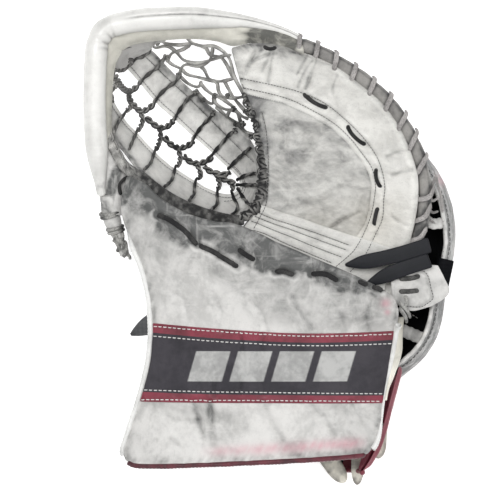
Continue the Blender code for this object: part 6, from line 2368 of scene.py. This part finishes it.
def pull_tab(name, node, root, tip, width, point_share, seed, sag=0.0):
    root, tip = np.array(root, float), np.array(tip, float)
    side = np.cross(tip - root, (0, 0, 1.0))
    side /= np.linalg.norm(side)
    t = np.linspace(0, 1, 60)
    w = np.linspace(-1, 1, 40)
    left = (1 - t) / point_share
    half = width / 2 * np.where(left >= 1, 1.0, np.sqrt(np.clip(1 - (1 - np.clip(left, 0, 1)) ** 2.2,
                                                                0.004, 1)))
    line = lerp(root[None], tip[None], t[:, None])
    line[:, 2] += sag * t**2
    grid = line[:, None] + side * (half[:, None] * w[None])[..., None]
    grid[..., 2] += 0.5 * (1 - w[None] ** 2)
    x, y = grid[..., 0], grid[..., 1]
    dirt_and_shade = np.clip(0.12 + 0.4 * wander(x, y, 7, 3,
                                       seed=seed) + 0.25 * bell((1 - np.abs(w))[None] * half[:, None], 1.5),
                   0, 0.85)
    obj = thick_sheet(name, grid, 2.6, TAB, {"dirt_and_shade": dirt_and_shade}, rounding=0.9)
    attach(obj, "thumb_cuff")
    if node:
        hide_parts(node)


pull_tab("wrap_tab_left_skin", "wrap_pull_tab_left", (47, -180, 13.5), (66, -206.5, 12.5), 13.5, 0.5, 341)
pull_tab("wrap_tab_right_skin", "wrap_pull_tab_right", (78.5, -178, 20.5), (77, -208, 21.5), 9.5, 0.6, 342)
pull_tab("wrap_tab_side_skin", None, (97, -155, 40), (95, -184, 38.5), 10.5, 0.4, 343)

# soft gusset between the cuff's right edge and the wrap's flap
GUSSET_OUT = [(116.1, -61.1), (114.8, -76.5), (114.4, -89.4), (112.7, -97.2), (107.1, -112.7),
              (103.2, -122.1), (100.6, -132.4)]
low_line = resample(GUSSET_OUT, 1.5)
place = cuff_right(np.linspace(0, 1, 400))
v_line = np.linspace(0, 1, len(low_line))
high = np.array([place[np.argmin(np.abs(place[:, 1] - y))] for y in low_line[:, 1]])
high_line = np.column_stack([high + [2.6, 0], 80 + 0 * v_line])
low_line = np.column_stack([low_line, lerp(60, 66, v_line)])
low_line[:, 0] = np.maximum(low_line[:, 0], high[:, 0] + 2.7)
grid = lerp(high_line[None], low_line[None], np.linspace(0, 1, 26)[:, None, None])
x, y = grid[..., 0], grid[..., 1]
grid[..., 2] += 1.2 * np.sin(np.linspace(0, np.pi, 26))[:, None] + 0.5 * wander(x, y, 12, 3, seed=351)
gusset = thick_sheet("cuff_gusset_skin", grid, 1.8, TAB,
                     {"dirt_and_shade": np.clip(0.10 + 0.22 * wander(x, y, 12, 3, seed=353), 0, 0.7)}, rounding=0.6)
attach(gusset, "thumb_cuff")

# the flap's lower corner turns outwards
left_line, right_line = curve([(82.6, -176.3), (80.8, -185.8), (78.7, -193.5)]), curve(
    [(96.3, -162.5), (91.2, -177.2), (85.6, -187.5), (80, -194.4)])
t = np.linspace(0, 1, 50)
grid = lerp(left_line(t)[None], right_line(t)[None], np.linspace(0, 1, 26)[:, None, None])
x, y = grid[..., 0], grid[..., 1]
rise = 44 + 1.5 * np.sin(np.linspace(0, np.pi, 26))[:, None] + 0.4 * wander(x, y, 10, 3, seed=361)
corner = thick_sheet("wrap_corner_skin", np.concatenate([grid, rise[..., None]], axis=-1), 2.4, BURGUNDY,
                     {"dirt_and_shade": np.clip(0.1 + 0.3 * wander(x, y, 12, 3, seed=363), 0, 0.8)}, rounding=0.8)
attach(corner, "thumb_cuff")

# ---------------------------------------------------------------- floor and end

floor_mesh = bpy.data.meshes.new("floor")
floor_mesh.from_pydata([(-6, -6, -0.0006), (6, -6, -0.0006), (6, 6, -0.0006), (-6, 6, -0.0006)],
                       [], [(0, 1, 2, 3)])
floor = bpy.data.objects.new("floor", floor_mesh)
bpy.context.scene.collection.objects.link(floor)
floor_nodes = Nodes("floor_paper", roughness=0.9, specular=0.1)
floor_nodes.shader.inputs["Emission Color"].default_value = (1.0, 1.0, 1.0, 1.0)
floor_nodes.shader.inputs["Emission Strength"].default_value = 0.62
floor_mesh.materials.append(floor_nodes.finish(
    floor_nodes.mix((0.93, 0.93, 0.93), (0.95, 0.95, 0.95), floor_nodes.noise(3.0, 2.0))))
